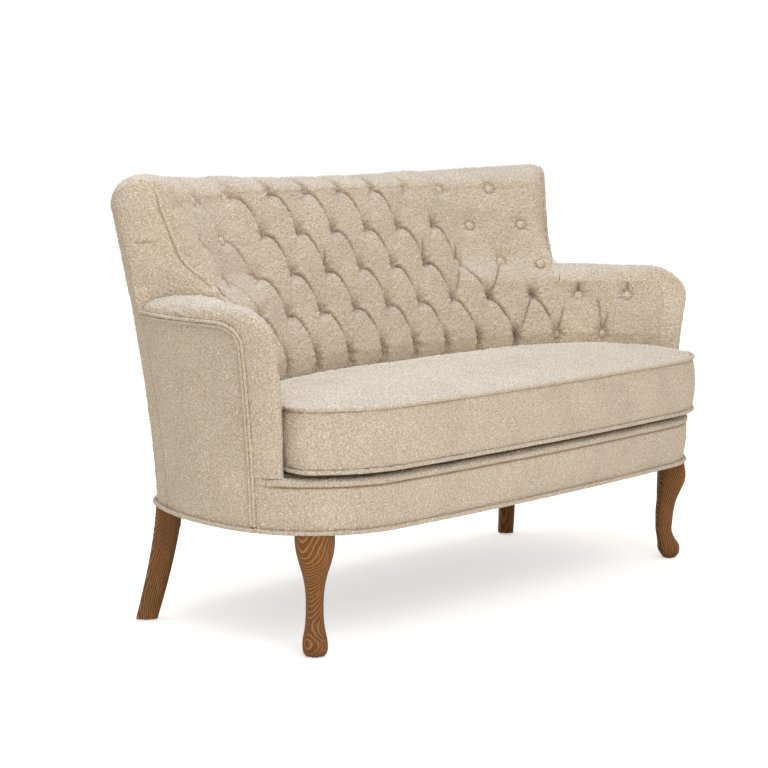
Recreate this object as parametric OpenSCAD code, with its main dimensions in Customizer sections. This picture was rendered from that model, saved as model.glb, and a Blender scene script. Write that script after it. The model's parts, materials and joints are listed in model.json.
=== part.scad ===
// Two-seat buttoned settee: curved back and splayed arms in one sweep, bowed seat with a loose bench
// cushion, two carved cabriole legs in front and two raked sabre legs behind.
// Frame of the part: +Z up, the front faces -Y, origin on the floor under the middle of the settee.

/* [Base] */
// Width of the upholstered base where it is widest
base_w = 1300; // [1150:10:1500]
// Distance from the origin forward to the middle of the front border
front_reach = 330; // [315:1:350]
// Radius of the base's front corners
corner_r = 210; // [180:5:240]
// Radius of the base's sides
side_r = 545; // [480:5:640]
// Radius of the base's rear corners
back_corner_r = 200; // [180:5:240]
// Height of the underside of the base above the floor
base_z = 226; // [190:1:260]
// Height of the seat rails
rail_h = 86; // [70:1:100]
// Thickness of the seat rails
rail_t = 20; // [18:1:24]

/* [Back] */
// Height of the top edge at the middle of the back
back_top_z = 841; // [800:1:900]
// How much higher the top edge is at the wings
wing_rise = 24; // [0:1:40]
// How far the outside leans out over the height of its flare
flare = 89; // [60:1:110]
// Height over the underside at which the outside has leaned out so far
flare_h = 615; // [560:5:680]
// Lean of the buttoned inside face from upright, in degrees
lean = 21.5; // [16:0.5:25]
// Distance from the origin back to the deepest line of the inside back, at the lowest buttons
inside_y = 122; // [110:1:132]
// Distance from the base's sides in to the ends of the wings' arcs
wing_in = 92.9; // [84:0.1:104]
// Radius where the inside back starts to turn
ease_r = 1000; // [800:10:1300]
// Radius of the inside back at the wings
wing_r = 400; // [360:5:450]
// Radius of the inside of the arms
arm_r = 750; // [650:10:900]

/* [Buttoning] */
// Height of the lowest row of buttons
row_z = 487; // [470:1:500]
// Distance between rows, up the lean
row_gap = 85; // [78:0.5:90]
// Depth of the buttoning on the back
tuft_depth = 33; // [20:1:38]
// Radius of a covered button
button_r = 11; // [8:0.5:14]

/* [Arms] */
// Height of the top of the arms
arm_top_z = 636; // [600:1:670]
// Height of the band over its outer seam, on top of the arm
band_rise = 34; // [24:1:42]
// Distance from the origin forward to the front end of the arms' buttoned pads
arm_front_y = 174.6; // [166:0.1:184]
// Radius of the arm's front top corner, along the outer seam
arm_corner_r = 36; // [24:1:48]
// Diameter of each cord of the double welt
double_welt_d = 6; // [5:0.5:8]

/* [Seat cushion] */
// Height of the cushion's side, from seam to seam
cushion_h = 112; // [95:1:125]
// Crown of the cushion over its top seam
cushion_crown = 30; // [20:1:40]
// How far the cushion stands out over the front border
cushion_overhang = 18; // [8:1:24]
// Diameter of the cushion's and the base's welt cords
welt_d = 8; // [6:0.5:10]
// Length of the zip in the cushion's rear side
zip_len = 460; // [360:10:480]

/* [Legs] */
// Distance of each front leg's axis in from the base's side
front_leg_in = 78; // [65:1:94]
// Distance of each front leg's axis forward of the origin
front_leg_y = 228; // [218:1:238]
// Distance of each back leg's top in from the base's side
back_leg_in = 109; // [98:1:130]
// Distance of each back leg's top behind the origin
back_leg_y = 178; // [165:1:188]
// How far a back leg's foot stands out from its top
back_leg_rake = 46; // [30:1:60]
// Width of a back leg across its rake
back_leg_w = 38; // [32:1:46]

/* [Hidden] */
// clearances
gap = 0.3;            // between pieces that lie against each other
frame_gap = 1;        // round the curved frame, where the padding is drawn by shorter straights
bolt_gap = 0.1;       // round a bolt in its hole
overrun = 1;          // how far a cut runs past the face that it cuts
// layers of the upholstery
shell_t = 10;         // outside covers with their lining
border_t = 10;        // padding over the seat rails
pad_back = 25;        // from the deepest line of the inside back to the rear of its pad
arm_pad_back = -10;   // the same at the front end of an arm
pad_least = 6;        // padding left behind a button
button_seat = 1.5;    // from the folds beside a button out to its back
top_reach_share = 0.5; // from an arm's top buttons up to where the folds carry them, of the way to the seam
low_share = 0.3;      // how far the back's pad stands out at its lower edge, as a share of its crest
arm_depth = 20;       // depth of the buttoning on the arms
strap_t = 2;          // webbing
strap_w = 50;
ply_t = 18;           // plywood uprights
plate_t = 22;         // top rail and arm rails
stump_t = 60;         // front stump of an arm, from front to rear
deck_t = 17;          // felt and cloth over the springs
cloth_t = 1;          // dust cover
wing_t = 12;          // padded face of a wing
facing_t = 16;        // padding on the front of an arm
roll_drop = 41;       // from the top of the back down to the seam outside
// frame
block_h = 60;         // corner blocks
block_turn = 27;      // half the angle that a corner block fills
foot_w = 60;          // height of an upright's foot
upright_w = 80;       // width of an upright above its foot
stretcher_w = 30;
stretcher_h = 56;
// legs and their hardware
bolt_r = 4;
bolt_in = 9;          // from a front leg's axis in to its bolt
back_bolt_in = 18;    // from a back leg's axis in to its bolt
bolt_deep = 45;       // bolt inside the leg
glide_h = 3;
glide_r = 9;
insert_r = 5.6;       // threaded insert in a corner block
insert_h = 18;
bolt_end = 8;         // bolt beyond its insert
leg_round_share = 0.32;
knee_w = 73;          // widest part of a front leg, across
knee_d = 59;          // and from front to rear
back_leg_d = 52;      // top of a back leg along its rake
back_leg_foot_d = 42;
// springs
spring_wire = 4;
spring_w = 46;
spring_step = 27;     // from one bar of a spring to the next
spring_side = 237;    // from the base's side in to the outermost spring
spring_count = 8;
spring_bars = 13;
clip_t = 1.5;
clip_w = 30;
clip_l = 18;
// seat cushion
side_bulge = 5;
welt_out_share = 0.25; // how far a cushion cord's middle stands out of the seam, of its diameter
cushion_back_gap = 16; // between the cushion's rear side and the buttoned back
ear_in = 18;          // from the outline in to the cushion beside the front of an arm
ear_angle = -38;      // where the front corner of the cushion turns in, as an angle of the outline
sag_in = 40;          // from the bottom seam in to where the cushion lies flat
tape_t = 1.2;
tape_w = 26;
slider_w = 11;
slider_l = 15;
slider_t = 3.4;
// angles where the outline's arcs meet, measured from +X
bow_angle = 3.3;
side_angle = 30.4;
back_angle = 2;
// angles that the inside line turns through on each of its arcs
ease_turn = 8;
wing_turn = 46;
face_turn = 33.285;   // angle of the wing's arc up to the wing's front face
// seams and frame joints, as angles of the outline's normal
welt_seam = -11.3;
facing_seam = -27;
front_joint = -62;
back_joint = 62;
border_fade = 16;
// fabrics, woods and metals
boucle = [0.83, 0.77, 0.67];
boucle_light = [0.88, 0.83, 0.74];
oak = [0.45, 0.28, 0.14];
beech = [0.76, 0.62, 0.44];
birch = [0.82, 0.70, 0.52];
steel = [0.62, 0.63, 0.65];
felt = [0.45, 0.43, 0.41];
black_cloth = [0.08, 0.08, 0.09];
jute = [0.66, 0.54, 0.36];

function mix(a, b, f) = a + (b - a) * f;
function clamp(v, lo, hi) = min(hi, max(lo, v));
function ease(f) = let(c = clamp(f, 0, 1)) c * c * (3 - 2 * c);
function polar(r, a) = [r * cos(a), r * sin(a)];
function arc_len(r, a) = r * a * PI / 180;
function flip(p) = [-p[0], p[1]];

// places that follow from the sizes above
front_leg_x = base_w / 2 - front_leg_in;
back_leg_x = base_w / 2 - back_leg_in;
rail_z = base_z + cloth_t;                 // underside of the rails
rail_top = rail_z + rail_h;
spring_z = rail_top + clip_t;              // underside of the seat springs
deck_z = spring_z + spring_wire + clip_t + gap;
seat_z = deck_z + deck_t;                  // top of the deck
border_top = seat_z - border_t;
cushion_z = seat_z + welt_d / 2 + gap;     // bottom seam of the cushion
cushion_top = cushion_z + cushion_h;       // top seam
band_edge_z = arm_top_z - band_rise;       // outer and inner seam of an arm's band
roll_edge_z = back_top_z - roll_drop;      // seam under the top roll, outside
plate_z = roll_edge_z - plate_t;           // underside of the top rail
arm_plate_z = band_edge_z - plate_t;

// outline of the base: five arcs on each half, given by the angle of the outward normal
bow_r = corner_r + (base_w / 2 - corner_r) / sin(bow_angle);
widest_y = -front_reach + bow_r - (bow_r - corner_r) * cos(bow_angle);
c_bow = [0, bow_r - front_reach];
c_corner = [base_w / 2 - corner_r, widest_y];
c_side = [base_w / 2 - side_r, widest_y];
c_rear = c_side + (side_r - back_corner_r) * polar(1, side_angle);
back_r = back_corner_r + c_rear[0] / sin(back_angle);
c_back = c_rear + (back_corner_r - back_r) * polar(1, 90 - back_angle);
ARCS = [[-90, bow_angle - 90, bow_r, c_bow], [bow_angle - 90, 0, corner_r, c_corner],
    [0, side_angle, side_r, c_side], [side_angle, 90 - back_angle, back_corner_r, c_rear],
    [90 - back_angle, 90, back_r, c_back]];
function right_xy(a, off) = let(k = [for (k = ARCS) if (a <= k[1]) k][0]) k[3] + polar(k[2] + off, a);
// point of the outline for a normal angle from -180 to 180 round the front, moved out by off
function outline_xy(a, off = 0) = a < -90 ? flip(right_xy(-180 - a, off))
    : a > 90 ? flip(right_xy(180 - a, off)) : right_xy(a, off);
function flare_at(z) = flare * pow(max(0, z - base_z) / flare_h, 1.5);
function outline_xyz(a, z, off = 0) =
    let(p = outline_xy(a, flare_at(z) + off)) [p[0], p[1], z];
// normal angles that draw the outline's arcs between a0 and a1
ARC_STOPS = concat([for (k = [0:2]) bow_angle * k / 3 - 90], [for (a = [bow_angle - 90:(90 - bow_angle) / 11:-0.01]) a],
    [for (a = [0:side_angle / 5:side_angle - 0.01]) a],
    [for (a = [side_angle:(90 - back_angle - side_angle) / 7:90 - back_angle]) a],
    [for (k = [1, 2]) 90 - back_angle * (1 - k / 3)]);
ALL_STOPS = concat([for (a = ARC_STOPS) if (a > -90) -180 - a], ARC_STOPS, [90],
    [for (a = ARC_STOPS) 180 - a]);
function sorted(v) = len(v) < 2 ? v : let(m = v[floor(len(v) / 2)])
    concat(sorted([for (x = v) if (x < m) x]), [m], sorted([for (x = v) if (x > m) x]));
STOPS = sorted(ALL_STOPS);
function spread(a0, a1) = concat([a0], [for (a = STOPS) if (a > a0 + 1 && a < a1 - 1) a], [a1]);
LOOP = [for (a = STOPS) if (a > -180 && a <= 180) a];

// line of the inside back and arms at the lowest buttons, by distance s from its middle
function turn(from, r, a) = [from[0] + r * (sin(from[2] + a) - sin(from[2])),
    from[1] + r * (cos(from[2] + a) - cos(from[2])), from[2] + a];
flat_half = base_w / 2 - wing_in - turn(turn([0, 0, 0], ease_r, ease_turn), wing_r, wing_turn)[0];
s_ease = flat_half + arc_len(ease_r, ease_turn);
s_wing = s_ease + arc_len(wing_r, wing_turn);
p_flat = [flat_half, 0, 0];
p_ease = turn(p_flat, ease_r, ease_turn);
p_wing = turn(p_ease, wing_r, wing_turn);
arm_turn = acos(cos(p_wing[2]) - (inside_y + p_wing[1] + arm_front_y) / arm_r) - p_wing[2];
function deg_of(len, r) = len / r * 180 / PI;
function line_at(s) = s <= flat_half ? [s, 0, 0]
    : s <= s_ease ? turn(p_flat, ease_r, deg_of(s - flat_half, ease_r))
    : s <= s_wing ? turn(p_ease, wing_r, deg_of(s - s_ease, wing_r))
    : turn(p_wing, arm_r, deg_of(s - s_wing, arm_r));
// point at distance s along the line, moved out by n
function inside_xy(s, n = 0) = let(a = line_at(abs(s)))
    [sign(s) * (a[0] + n * sin(a[2])), inside_y + a[1] + n * cos(a[2])];
function lean_at(z) = max(0, z - row_z) * tan(lean);
// where the normal at s meets the covers at height z: distance, and angle of the outline there
function meet(s, z) = let(
    a = line_at(abs(s)), p = [a[0], inside_y + a[1]], d = [sin(a[2]), cos(a[2])])
    [for (k = ARCS) let(m = p - k[3], b = m * d, r = k[2] + flare_at(z), g = b * b - m * m + r * r,
        t = g > 0 ? sqrt(g) - b : 0, q = m + t * d, w = atan2(q[1], q[0]))
        if (g > 0 && w >= k[0] - 0.001 && w <= k[1] + 0.001) [t, w]][0];
function thick(s, z) = meet(s, z)[0];
wing_s = s_ease + arc_len(wing_r, face_turn);   // where the inside back ends at the wings
pad_end_s = s_wing + arc_len(arm_r, arm_turn);  // front end of an arm's buttoned pad
button_gap = wing_s / 5;                   // between buttons along a row
cell_s = button_gap / 4;
arm_cell = (pad_end_s - wing_s) / 9;
// distance along the line to column i of the buttoning, four to a button, and the column at s
function column_s(i) = sign(i) * (abs(i) <= 20 ? abs(i) * cell_s : wing_s + (abs(i) - 20) * arm_cell);
function column_at(s) = sign(s)
    * (abs(s) <= wing_s ? abs(s) / cell_s : 20 + (abs(s) - wing_s) / arm_cell);
band_s = wing_s + wing_t + gap;            // where an arm's band starts, in front of the wing
function rear_n(s) =
    mix(pad_back, arm_pad_back, clamp((abs(s) - wing_s) / (pad_end_s - wing_s), 0, 1));
function crest_n(s) = -mix(tuft_depth, arm_depth, ease((abs(s) - wing_s) / button_gap + 0.5));
function pit_n(s) = min(0, rear_n(s) - pad_least);
// share of the crest's height at s along and t up the lean: 0 at a button, 1 between buttons
function tuft_share(s, t, top_t) = let(
    c = clamp(t, 0, top_t), k = column_at(s) / 4, a = 180 * (k + c / row_gap / 2),
    b = 180 * (k - c / row_gap / 2), u = abs(sin(a)), v = abs(sin(b)),
    away = max(-t, t - top_t, 0))
    mix(0.55 * max(u, v) + 0.45 * sqrt(u * v), 1, ease(away / row_gap));
// point of the inside face: s along the line, t up the lean, h the share of the crest
function face_pt(s, t, h) = let(
    n = mix(pit_n(s), crest_n(s), h), up = t > 0 ? lean : 0,
    p = inside_xy(s, max(0, t) * sin(lean) + n * cos(up)))
    [p[0], p[1], row_z + (t > 0 ? t * cos(lean) : t) - n * sin(up)];
function rear_pt(s, z) = let(p = inside_xy(s, rear_n(s) + lean_at(z))) [p[0], p[1], z];
function top_z(s) = back_top_z + wing_rise * pow(abs(s) / wing_s, 2);
low_t = seat_z + gap - row_z;              // lower edge of the inside pads
back_top_t = 4 * row_gap;                  // top row of buttons on the back
arm_top_t = row_gap;                       // top row of buttons on the arms
cell_t = row_gap / 2;

// closed solid between two grids with equally long rows; the cells' diagonals follow the buttoning
module skin(front, rear) {
    nf = len(front);
    nr = len(rear);
    nc = len(front[0]);
    function f(j, i) = j * nc + i;
    function r(j, i) = (nf + j) * nc + i;
    function quad(a, b, c, d, even) = even ? [[a, b, c], [a, c, d]] : [[a, b, d], [b, c, d]];
    polyhedron(concat([for (row = front) each row], [for (row = rear) each row]), concat(
        [for (j = [0:nf - 2], i = [0:nc - 2])
            each quad(f(j, i), f(j + 1, i), f(j + 1, i + 1), f(j, i + 1), (i + j) % 2 == 0)],
        [for (j = [0:nr - 2], i = [0:nc - 2])
            each quad(r(j, i), r(j, i + 1), r(j + 1, i + 1), r(j + 1, i), true)],
        [for (i = [0:nc - 2]) each quad(f(0, i), f(0, i + 1), r(0, i + 1), r(0, i), true)],
        [for (i = [0:nc - 2])
            each quad(f(nf - 1, i), r(nr - 1, i), r(nr - 1, i + 1), f(nf - 1, i + 1), true)],
        nf == nr ? [for (j = [0:nf - 2]) each quad(r(j, 0), r(j + 1, 0), f(j + 1, 0), f(j, 0), true)]
            : [[for (j = [0:nr - 1]) r(j, 0), for (j = [nf - 1:-1:0]) f(j, 0)]],
        nf == nr ? [for (j = [0:nf - 2]) each quad(f(j, nc - 1), f(j + 1, nc - 1), r(j + 1, nc - 1),
            r(j, nc - 1), true)]
            : [[for (j = [0:nf - 1]) f(j, nc - 1), for (j = [nr - 1:-1:0]) r(j, nc - 1)]]));
}
// closed tube through rings of equally many points; closed joins the last ring to the first
module tube(rings, closed = false) {
    n = len(rings);
    m = len(rings[0]);
    function v(j, i) = (j % n) * m + i % m;
    polyhedron([for (ring = rings) each ring], concat(
        [for (j = [0:n - (closed ? 1 : 2)], i = [0:m - 1])
            each [[v(j, i), v(j + 1, i), v(j + 1, i + 1)], [v(j, i), v(j + 1, i + 1), v(j, i + 1)]]],
        closed ? [] : [[for (i = [0:m - 1]) v(0, i)], [for (i = [m - 1:-1:0]) v(n - 1, i)]]));
}
module pair() {
    children();
    mirror([1, 0, 0]) children();
}

// Legs: rows of height, width, depth and how far forward the middle lies, as shares of the leg's
// length, of the knee's width, and of its depth twice
FRONT_LEG_shares = [[0, 0.49, 0.47, 0.20], [0.03, 0.59, 0.63, 0.21], [0.08, 0.63, 0.78, 0.19],
    [0.13, 0.61, 0.76, 0.17], [0.19, 0.53, 0.64, 0.08], [0.26, 0.47, 0.58, 0], [0.37, 0.44, 0.62, 0],
    [0.47, 0.45, 0.66, 0.02], [0.57, 0.51, 0.71, 0.08], [0.67, 0.63, 0.86, 0.16],
    [0.77, 0.81, 0.99, 0.24], [0.85, 0.93, 1, 0.25], [0.92, 0.99, 1.01, 0.2], [1, 1, 1.05, 0.12]];
leg_len = base_z - glide_h;
// corners of a rounded rectangle, each drawn by three points
function round_ring(w, d, y, z, r) = [for (q = [0:3], a = [0, 45, 90])
    let(c = polar(1, 45 + 90 * q), e = polar(r, 90 * q + a))
    [sign(c[0]) * (w / 2 - r) + e[0], y + sign(c[1]) * (d / 2 - r) + e[1], z]];
module front_leg() {
    color(oak) difference() {
        tube([for (k = FRONT_LEG_shares)
            round_ring(knee_w * k[1], knee_d * k[2], knee_d * k[3], glide_h + leg_len * k[0],
                leg_round_share * min(knee_w * k[1], knee_d * k[2]) / 2)]);
        translate([0, -bolt_in, base_z - bolt_deep])
            cylinder(r = bolt_r + bolt_gap, h = bolt_deep + overrun, $fn = 32);
    }
}
function rake_at(f) = back_leg_rake * pow(1 - f, 1.4);
module back_leg() {
    side = [for (f = [0:0.125:1]) f];
    color(oak) difference() {
        translate([-back_leg_w / 2, 0, glide_h]) rotate([90, 0, 90]) linear_extrude(back_leg_w)
            polygon(concat(
                [for (f = side) [rake_at(f) + mix(back_leg_foot_d, back_leg_d, f) / 2, leg_len * f]],
                [for (i = [len(side) - 1:-1:0]) let(f = side[i])
                    [rake_at(f) - mix(back_leg_foot_d, back_leg_d, f) / 2, leg_len * f]]));
        translate([0, -back_bolt_in, base_z - bolt_deep])
            cylinder(r = bolt_r + bolt_gap, h = bolt_deep + overrun, $fn = 32);
    }
}
module at_front_leg() {
    translate([front_leg_x, -front_leg_y, 0]) rotate(-135) children();
}
module at_back_leg() {
    translate([back_leg_x, back_leg_y, 0]) rotate(-45) children();
}
module left() {
    mirror([1, 0, 0]) children();
}
module at_bolts() {
    pair() {
        at_front_leg() translate([0, -bolt_in, 0]) children();
        at_back_leg() translate([0, -back_bolt_in, 0]) children();
    }
}
module glide() {
    rotate_extrude($fn = 32)
        polygon([[0, 0], [glide_r - glide_h / 2, 0], [glide_r, glide_h / 2], [glide_r, glide_h], [0, glide_h]]);
}
module leg_glides() {
    color(steel) pair() {
        at_front_leg() translate([0, knee_d * FRONT_LEG_shares[0][3], 0]) glide();
        at_back_leg() translate([0, back_leg_rake, 0]) glide();
    }
}
module hanger_bolts() {
    color(steel) at_bolts() translate([0, 0, base_z - bolt_deep])
        cylinder(r = bolt_r, h = bolt_deep + cloth_t + insert_h + bolt_end, $fn = 32);
}
module leg_inserts() {
    color(steel) at_bolts() translate([0, 0, rail_z]) difference() {
        cylinder(r = insert_r, h = insert_h, $fn = 32);
        translate([0, 0, -overrun])
            cylinder(r = bolt_r + bolt_gap, h = insert_h + 2 * overrun, $fn = 32);
    }
}

// Seat frame
frame_off = border_t + frame_gap;          // from the covers in to the rails
rail_in = frame_off + rail_t;              // and in to the rails' inner face
bar_y = inside_y - rail_t;                 // front face of the rail that holds the springs behind
// flat shape between the outline moved in by off0 and by off1, from normal angle a0 to a1
module strip(a0, a1, off0, off1) {
    angles = spread(a0, a1);
    polygon(concat([for (a = angles) outline_xy(a, -off0)],
        [for (i = [len(angles) - 1:-1:0]) outline_xy(angles[i], -off1)]));
}
module plan(off) {
    polygon([for (a = LOOP) outline_xy(a, -off)]);
}
module rail(a0, a1) {
    color(beech) translate([0, 0, rail_z]) linear_extrude(rail_h) strip(a0, a1, frame_off, rail_in);
}
module front_rail() {
    rail(-180 - front_joint, front_joint);
}
module back_rail() {
    rail(back_joint, 180 - back_joint);
}
module side_rail() {
    rail(front_joint, back_joint);
}
module rear_spring_rail() {
    color(beech) translate([0, 0, rail_z]) linear_extrude(rail_h) intersection() {
        plan(rail_in + gap);
        translate([-base_w / 2, bar_y]) square([base_w, rail_t]);
    }
}
module center_stretcher() {
    y = rail_in - front_reach + gap;
    color(beech) translate([-stretcher_w / 2, y, rail_z])
        cube([stretcher_w, bar_y - y, stretcher_h]);
}
// plan of a corner block; the rear ones end behind the rail that holds the springs
module corner_plan(a) {
    polygon([for (k = spread(a - block_turn, a + block_turn)) outline_xy(k, -rail_in - frame_gap)]);
}
module corner_blocks() {
    color(beech) difference() {
        translate([0, 0, rail_z]) linear_extrude(block_h) pair() {
            corner_plan(-45);
            difference() {
                corner_plan(45);
                translate([0, inside_y + gap - base_w]) square(base_w);
            }
        }
        at_bolts() translate([0, 0, rail_z - overrun])
            cylinder(r = bolt_r + bolt_gap, h = block_h + 2 * overrun, $fn = 32);
        at_bolts() translate([0, 0, rail_z - overrun])
            cylinder(r = insert_r + bolt_gap, h = insert_h + overrun, $fn = 32);
    }
}

// Frame of the back and arms
plate_in = strap_t + gap + frame_gap;      // room for the webbing behind the pads
// distance out along the normal at s to a depth inside the covers, for a piece so wide along the line
function cover_n(s, z, depth, wide = 0) =
    let(m = meet(s, z), off = 90 - line_at(abs(s))[2] - m[1])
    m[0] - depth / cos(off) - wide / 2 * abs(tan(off));
function frame_n(s, z) = rear_n(s) + plate_in + lean_at(z);
UPRIGHT_shares = [0, 0.34, 0.68, 0.975];   // places of the uprights, of the distance to the wings
// plate of thickness t across the line at s, drawn by distance out and height
module across(s, t) {
    mirror([s < 0 ? 1 : 0, 0, 0]) translate(inside_xy(abs(s))) rotate(90 - line_at(abs(s))[2])
        translate([0, t / 2, 0]) rotate([90, 0, 0]) linear_extrude(t) children();
}
module upright(s) {
    foot = cover_n(s, base_z, frame_off, ply_t);
    waist_z = mix(row_z, plate_z, 0.5);
    across(s, ply_t) polygon([[frame_n(s, 0), rail_top], [foot, rail_top], [foot, rail_top + foot_w],
        [frame_n(s, 0) + upright_w, row_z], [frame_n(s, waist_z) + upright_w * 0.75, waist_z],
        [cover_n(s, plate_z - foot_w, shell_t + frame_gap, ply_t), plate_z - foot_w],
        [cover_n(s, plate_z, shell_t + frame_gap, ply_t), plate_z], [frame_n(s, plate_z), plate_z],
        [frame_n(s, row_z), row_z]]);
}
module back_uprights() {
    color(birch) for (k = UPRIGHT_shares) {
        upright(k * wing_s);
        if (k > 0) upright(-k * wing_s);
    }
}
// curved plate from s0 to s1 at height z, between the webbing and the covers
module plate(s0, s1, z) {
    stops = concat([s0], [for (i = [-28:2:28]) let(s = column_s(i))
        if (s > s0 + cell_s && s < s1 - cell_s) s], [s1]);
    translate([0, 0, z]) linear_extrude(plate_t) polygon(concat(
        [for (s = stops) inside_xy(s, frame_n(s, z + plate_t))],
        [for (i = [len(stops) - 1:-1:0]) inside_xy(stops[i], cover_n(stops[i], z, shell_t + frame_gap))]));
}
module top_rail() {
    color(birch) plate(-wing_s, wing_s, plate_z);
}
// An arm's front top corner: where the band turns down, and the share of the corner's reach by
// which its front lies back at height z
arm_front_z = band_edge_z - arm_corner_r;
arm_front_s = pad_end_s - arm_corner_r;
function corner_share(z) = 1 - sqrt(1 - pow(clamp((z - arm_front_z) / arm_corner_r, 0, 1), 2));
function turned(a, len) = a + len / (corner_r + flare_at(band_edge_z)) * 180 / PI;
arm_front_angle = meet(arm_front_s, band_edge_z)[1];
function front_angle(z) = mix(welt_seam, arm_front_angle, corner_share(z));
stump_in = plate_in + 3 * frame_gap;       // a stump's front behind the facing's padding
// plan of a stump at height z: behind the padding of the facing, between webbing and cover
function stump_ring(z) = let(
    s0 = pad_end_s - stump_in - arm_corner_r * corner_share(z), s1 = pad_end_s - stump_t)
    [for (p = [inside_xy(s0, frame_n(s0, z)), inside_xy(s1, frame_n(s1, z)),
        inside_xy(s1, cover_n(s1, z, shell_t + frame_gap)),
        outline_xy(turned(front_angle(z), stump_in), flare_at(z) - facing_t)]) [p[0], p[1], z]];
module arm_stumps() {
    color(birch) pair() tube(concat([stump_ring(arm_plate_z)],
        [for (f = [0:0.125:1]) stump_ring(mix(arm_front_z, rail_top, f))]));
}
module arm_rail() {
    color(birch) plate(UPRIGHT_shares[3] * wing_s + ply_t / 2, arm_front_s - plate_in, arm_plate_z);
}

// Springs, webbing and cloth
spring_end = rail_t / 2;                   // how far a spring reaches over the rails
function front_inner_y(x) = c_bow[1] - sqrt(pow(bow_r - rail_in, 2) - x * x);
// one side of a bend between two bars, out by off from the wire's middle
function bend(k, step, off) = let(d = k % 2 == 0 ? 1 : -1, r = step / 2 + d * off)
    [for (a = [-90, -30, 30, 90]) [d * (spring_w / 2 + r * cos(a)), (k + 0.5) * step + r * sin(a)]];
module spring(x) {
    y0 = front_inner_y(abs(x)) - spring_end;
    step = (bar_y + spring_end - y0) / (spring_bars - 1);
    h = spring_wire / 2;
    ends = [[-spring_w / 2, 0], [spring_w / 2, (spring_bars - 1) * step]];
    translate([x, y0, spring_z]) linear_extrude(spring_wire) polygon(concat(
        [ends[0] - [0, h]], [for (k = [0:spring_bars - 2]) each bend(k, step, h)], [ends[1] - [0, h]],
        [ends[1] + [0, h]], [for (k = [spring_bars - 2:-1:0]) let(b = bend(k, step, -h))
            each [b[3], b[2], b[1], b[0]]], [ends[0] + [0, h]]));
}
spring_gap = (base_w - 2 * spring_side) / (spring_count - 1);
function spring_x(k) = (k - (spring_count - 1) / 2) * spring_gap;
module seat_springs() {
    color(steel) for (k = [0:spring_count - 1]) spring(spring_x(k));
}
// bent strip round the end bar of a spring; its foot lies on the rail
module clip() {
    top = spring_wire + clip_t;
    translate([-clip_w / 2, 0, rail_top]) rotate([90, 0, 90]) linear_extrude(clip_w)
        polygon([[clip_l / 2, 0], [-clip_l / 2 + clip_t, 0], [-clip_l / 2 + clip_t, top + clip_t],
            [clip_l / 4, top + clip_t], [clip_l / 4, top], [-clip_l / 2 + 2 * clip_t, top],
            [-clip_l / 2 + 2 * clip_t, clip_t], [clip_l / 2, clip_t]]);
}
module spring_clips() {
    color(steel) for (k = [0:spring_count - 1]) {
        x = spring_x(k);
        translate([x, front_inner_y(abs(x)) - spring_end, 0]) clip();
        translate([x, bar_y + spring_end, 0]) mirror([0, 1, 0]) clip();
    }
}
module tie_wires() {
    reach = spring_x(spring_count - 1) + spring_w;
    color(steel) for (f = [1 / 3, 2 / 3])
        translate([-reach, mix(-front_reach, bar_y, f), spring_z - spring_wire / 2 - gap / 4])
            rotate([0, 90, 0]) cylinder(d = spring_wire - gap, h = 2 * reach, $fn = 16);
}
// edge of the deck under the inside pads, from the front end of one arm to the other
function deck_edge(i) = let(s = column_s(i))
    inside_xy(s, abs(i) < 29 ? rear_n(s) - gap : crest_n(s) - 2 * gap);
module deck_pad() {
    color(felt) translate([0, 0, deck_z]) linear_extrude(deck_t) polygon(concat(
        [for (i = [29:-1:-29]) deck_edge(i)],
        [for (a = spread(-180 - facing_seam, facing_seam)) outline_xy(a, -frame_off)]));
}
module dust_cover() {
    color(black_cloth) translate([0, 0, base_z]) linear_extrude(cloth_t) difference() {
        plan(frame_off);
        at_bolts() circle(r = bolt_r + bolt_gap, $fn = 32);
    }
}
STRAP_shares = [0.17, 0.4, 0.64, 0.88];    // heights of the webbing, of the buttoned height; the lowest runs on along the arms
module strap(share) {
    z0 = row_z + share * back_top_t * cos(lean) - strap_w;
    columns = share == STRAP_shares[0] ? 28 : 20;
    rows = [z0, z0 + strap_w * cos(lean)];
    function edge(z, out) = [for (i = [-columns:columns]) let(s = column_s(i),
        p = inside_xy(s, rear_n(s) + out + lean_at(z))) [p[0], p[1], z]];
    skin([for (z = rows) edge(z, gap)], [for (z = rows) edge(z, gap + strap_t)]);
}
module back_webbing() {
    color(jute) for (share = STRAP_shares) strap(share);
}

// Buttoned pads
function at_nz(s, nz) = let(p = inside_xy(s, nz[0])) [p[0], p[1], nz[1]];
// inside of the back's top roll at angle k from its front edge over to the seam outside
function roll_nz(s, k) = let(
    t = back_top_t, n = mix(pit_n(s), crest_n(s), tuft_share(s, t + row_gap * k / 180, t)),
    n0 = t * sin(lean) + n * cos(lean), z0 = row_z + t * cos(lean) - n * sin(lean),
    z1 = roll_edge_z + gap, z = mix(z0, z1, k / 180))
    [mix(n0, thick(s, roll_edge_z), (1 - cos(k)) / 2), z + (top_z(s) - z) * sin(k)];
module inside_back() {
    columns = [for (i = [-20:20]) column_s(i)];
    heights = concat([-0.6 * row_gap], [for (i = [-1:8]) i * cell_t]);
    color(boucle) skin(
        concat([[for (s = columns) face_pt(s, low_t, low_share)]],
            [for (t = heights) [for (s = columns) face_pt(s, t, tuft_share(s, t, back_top_t))]],
            [for (k = [30:30:180]) [for (s = columns) at_nz(s, roll_nz(s, k))]]),
        [for (z = [row_z + low_t, row_z, roll_edge_z + gap]) [for (s = columns) rear_pt(s, z)]]);
}
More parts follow.
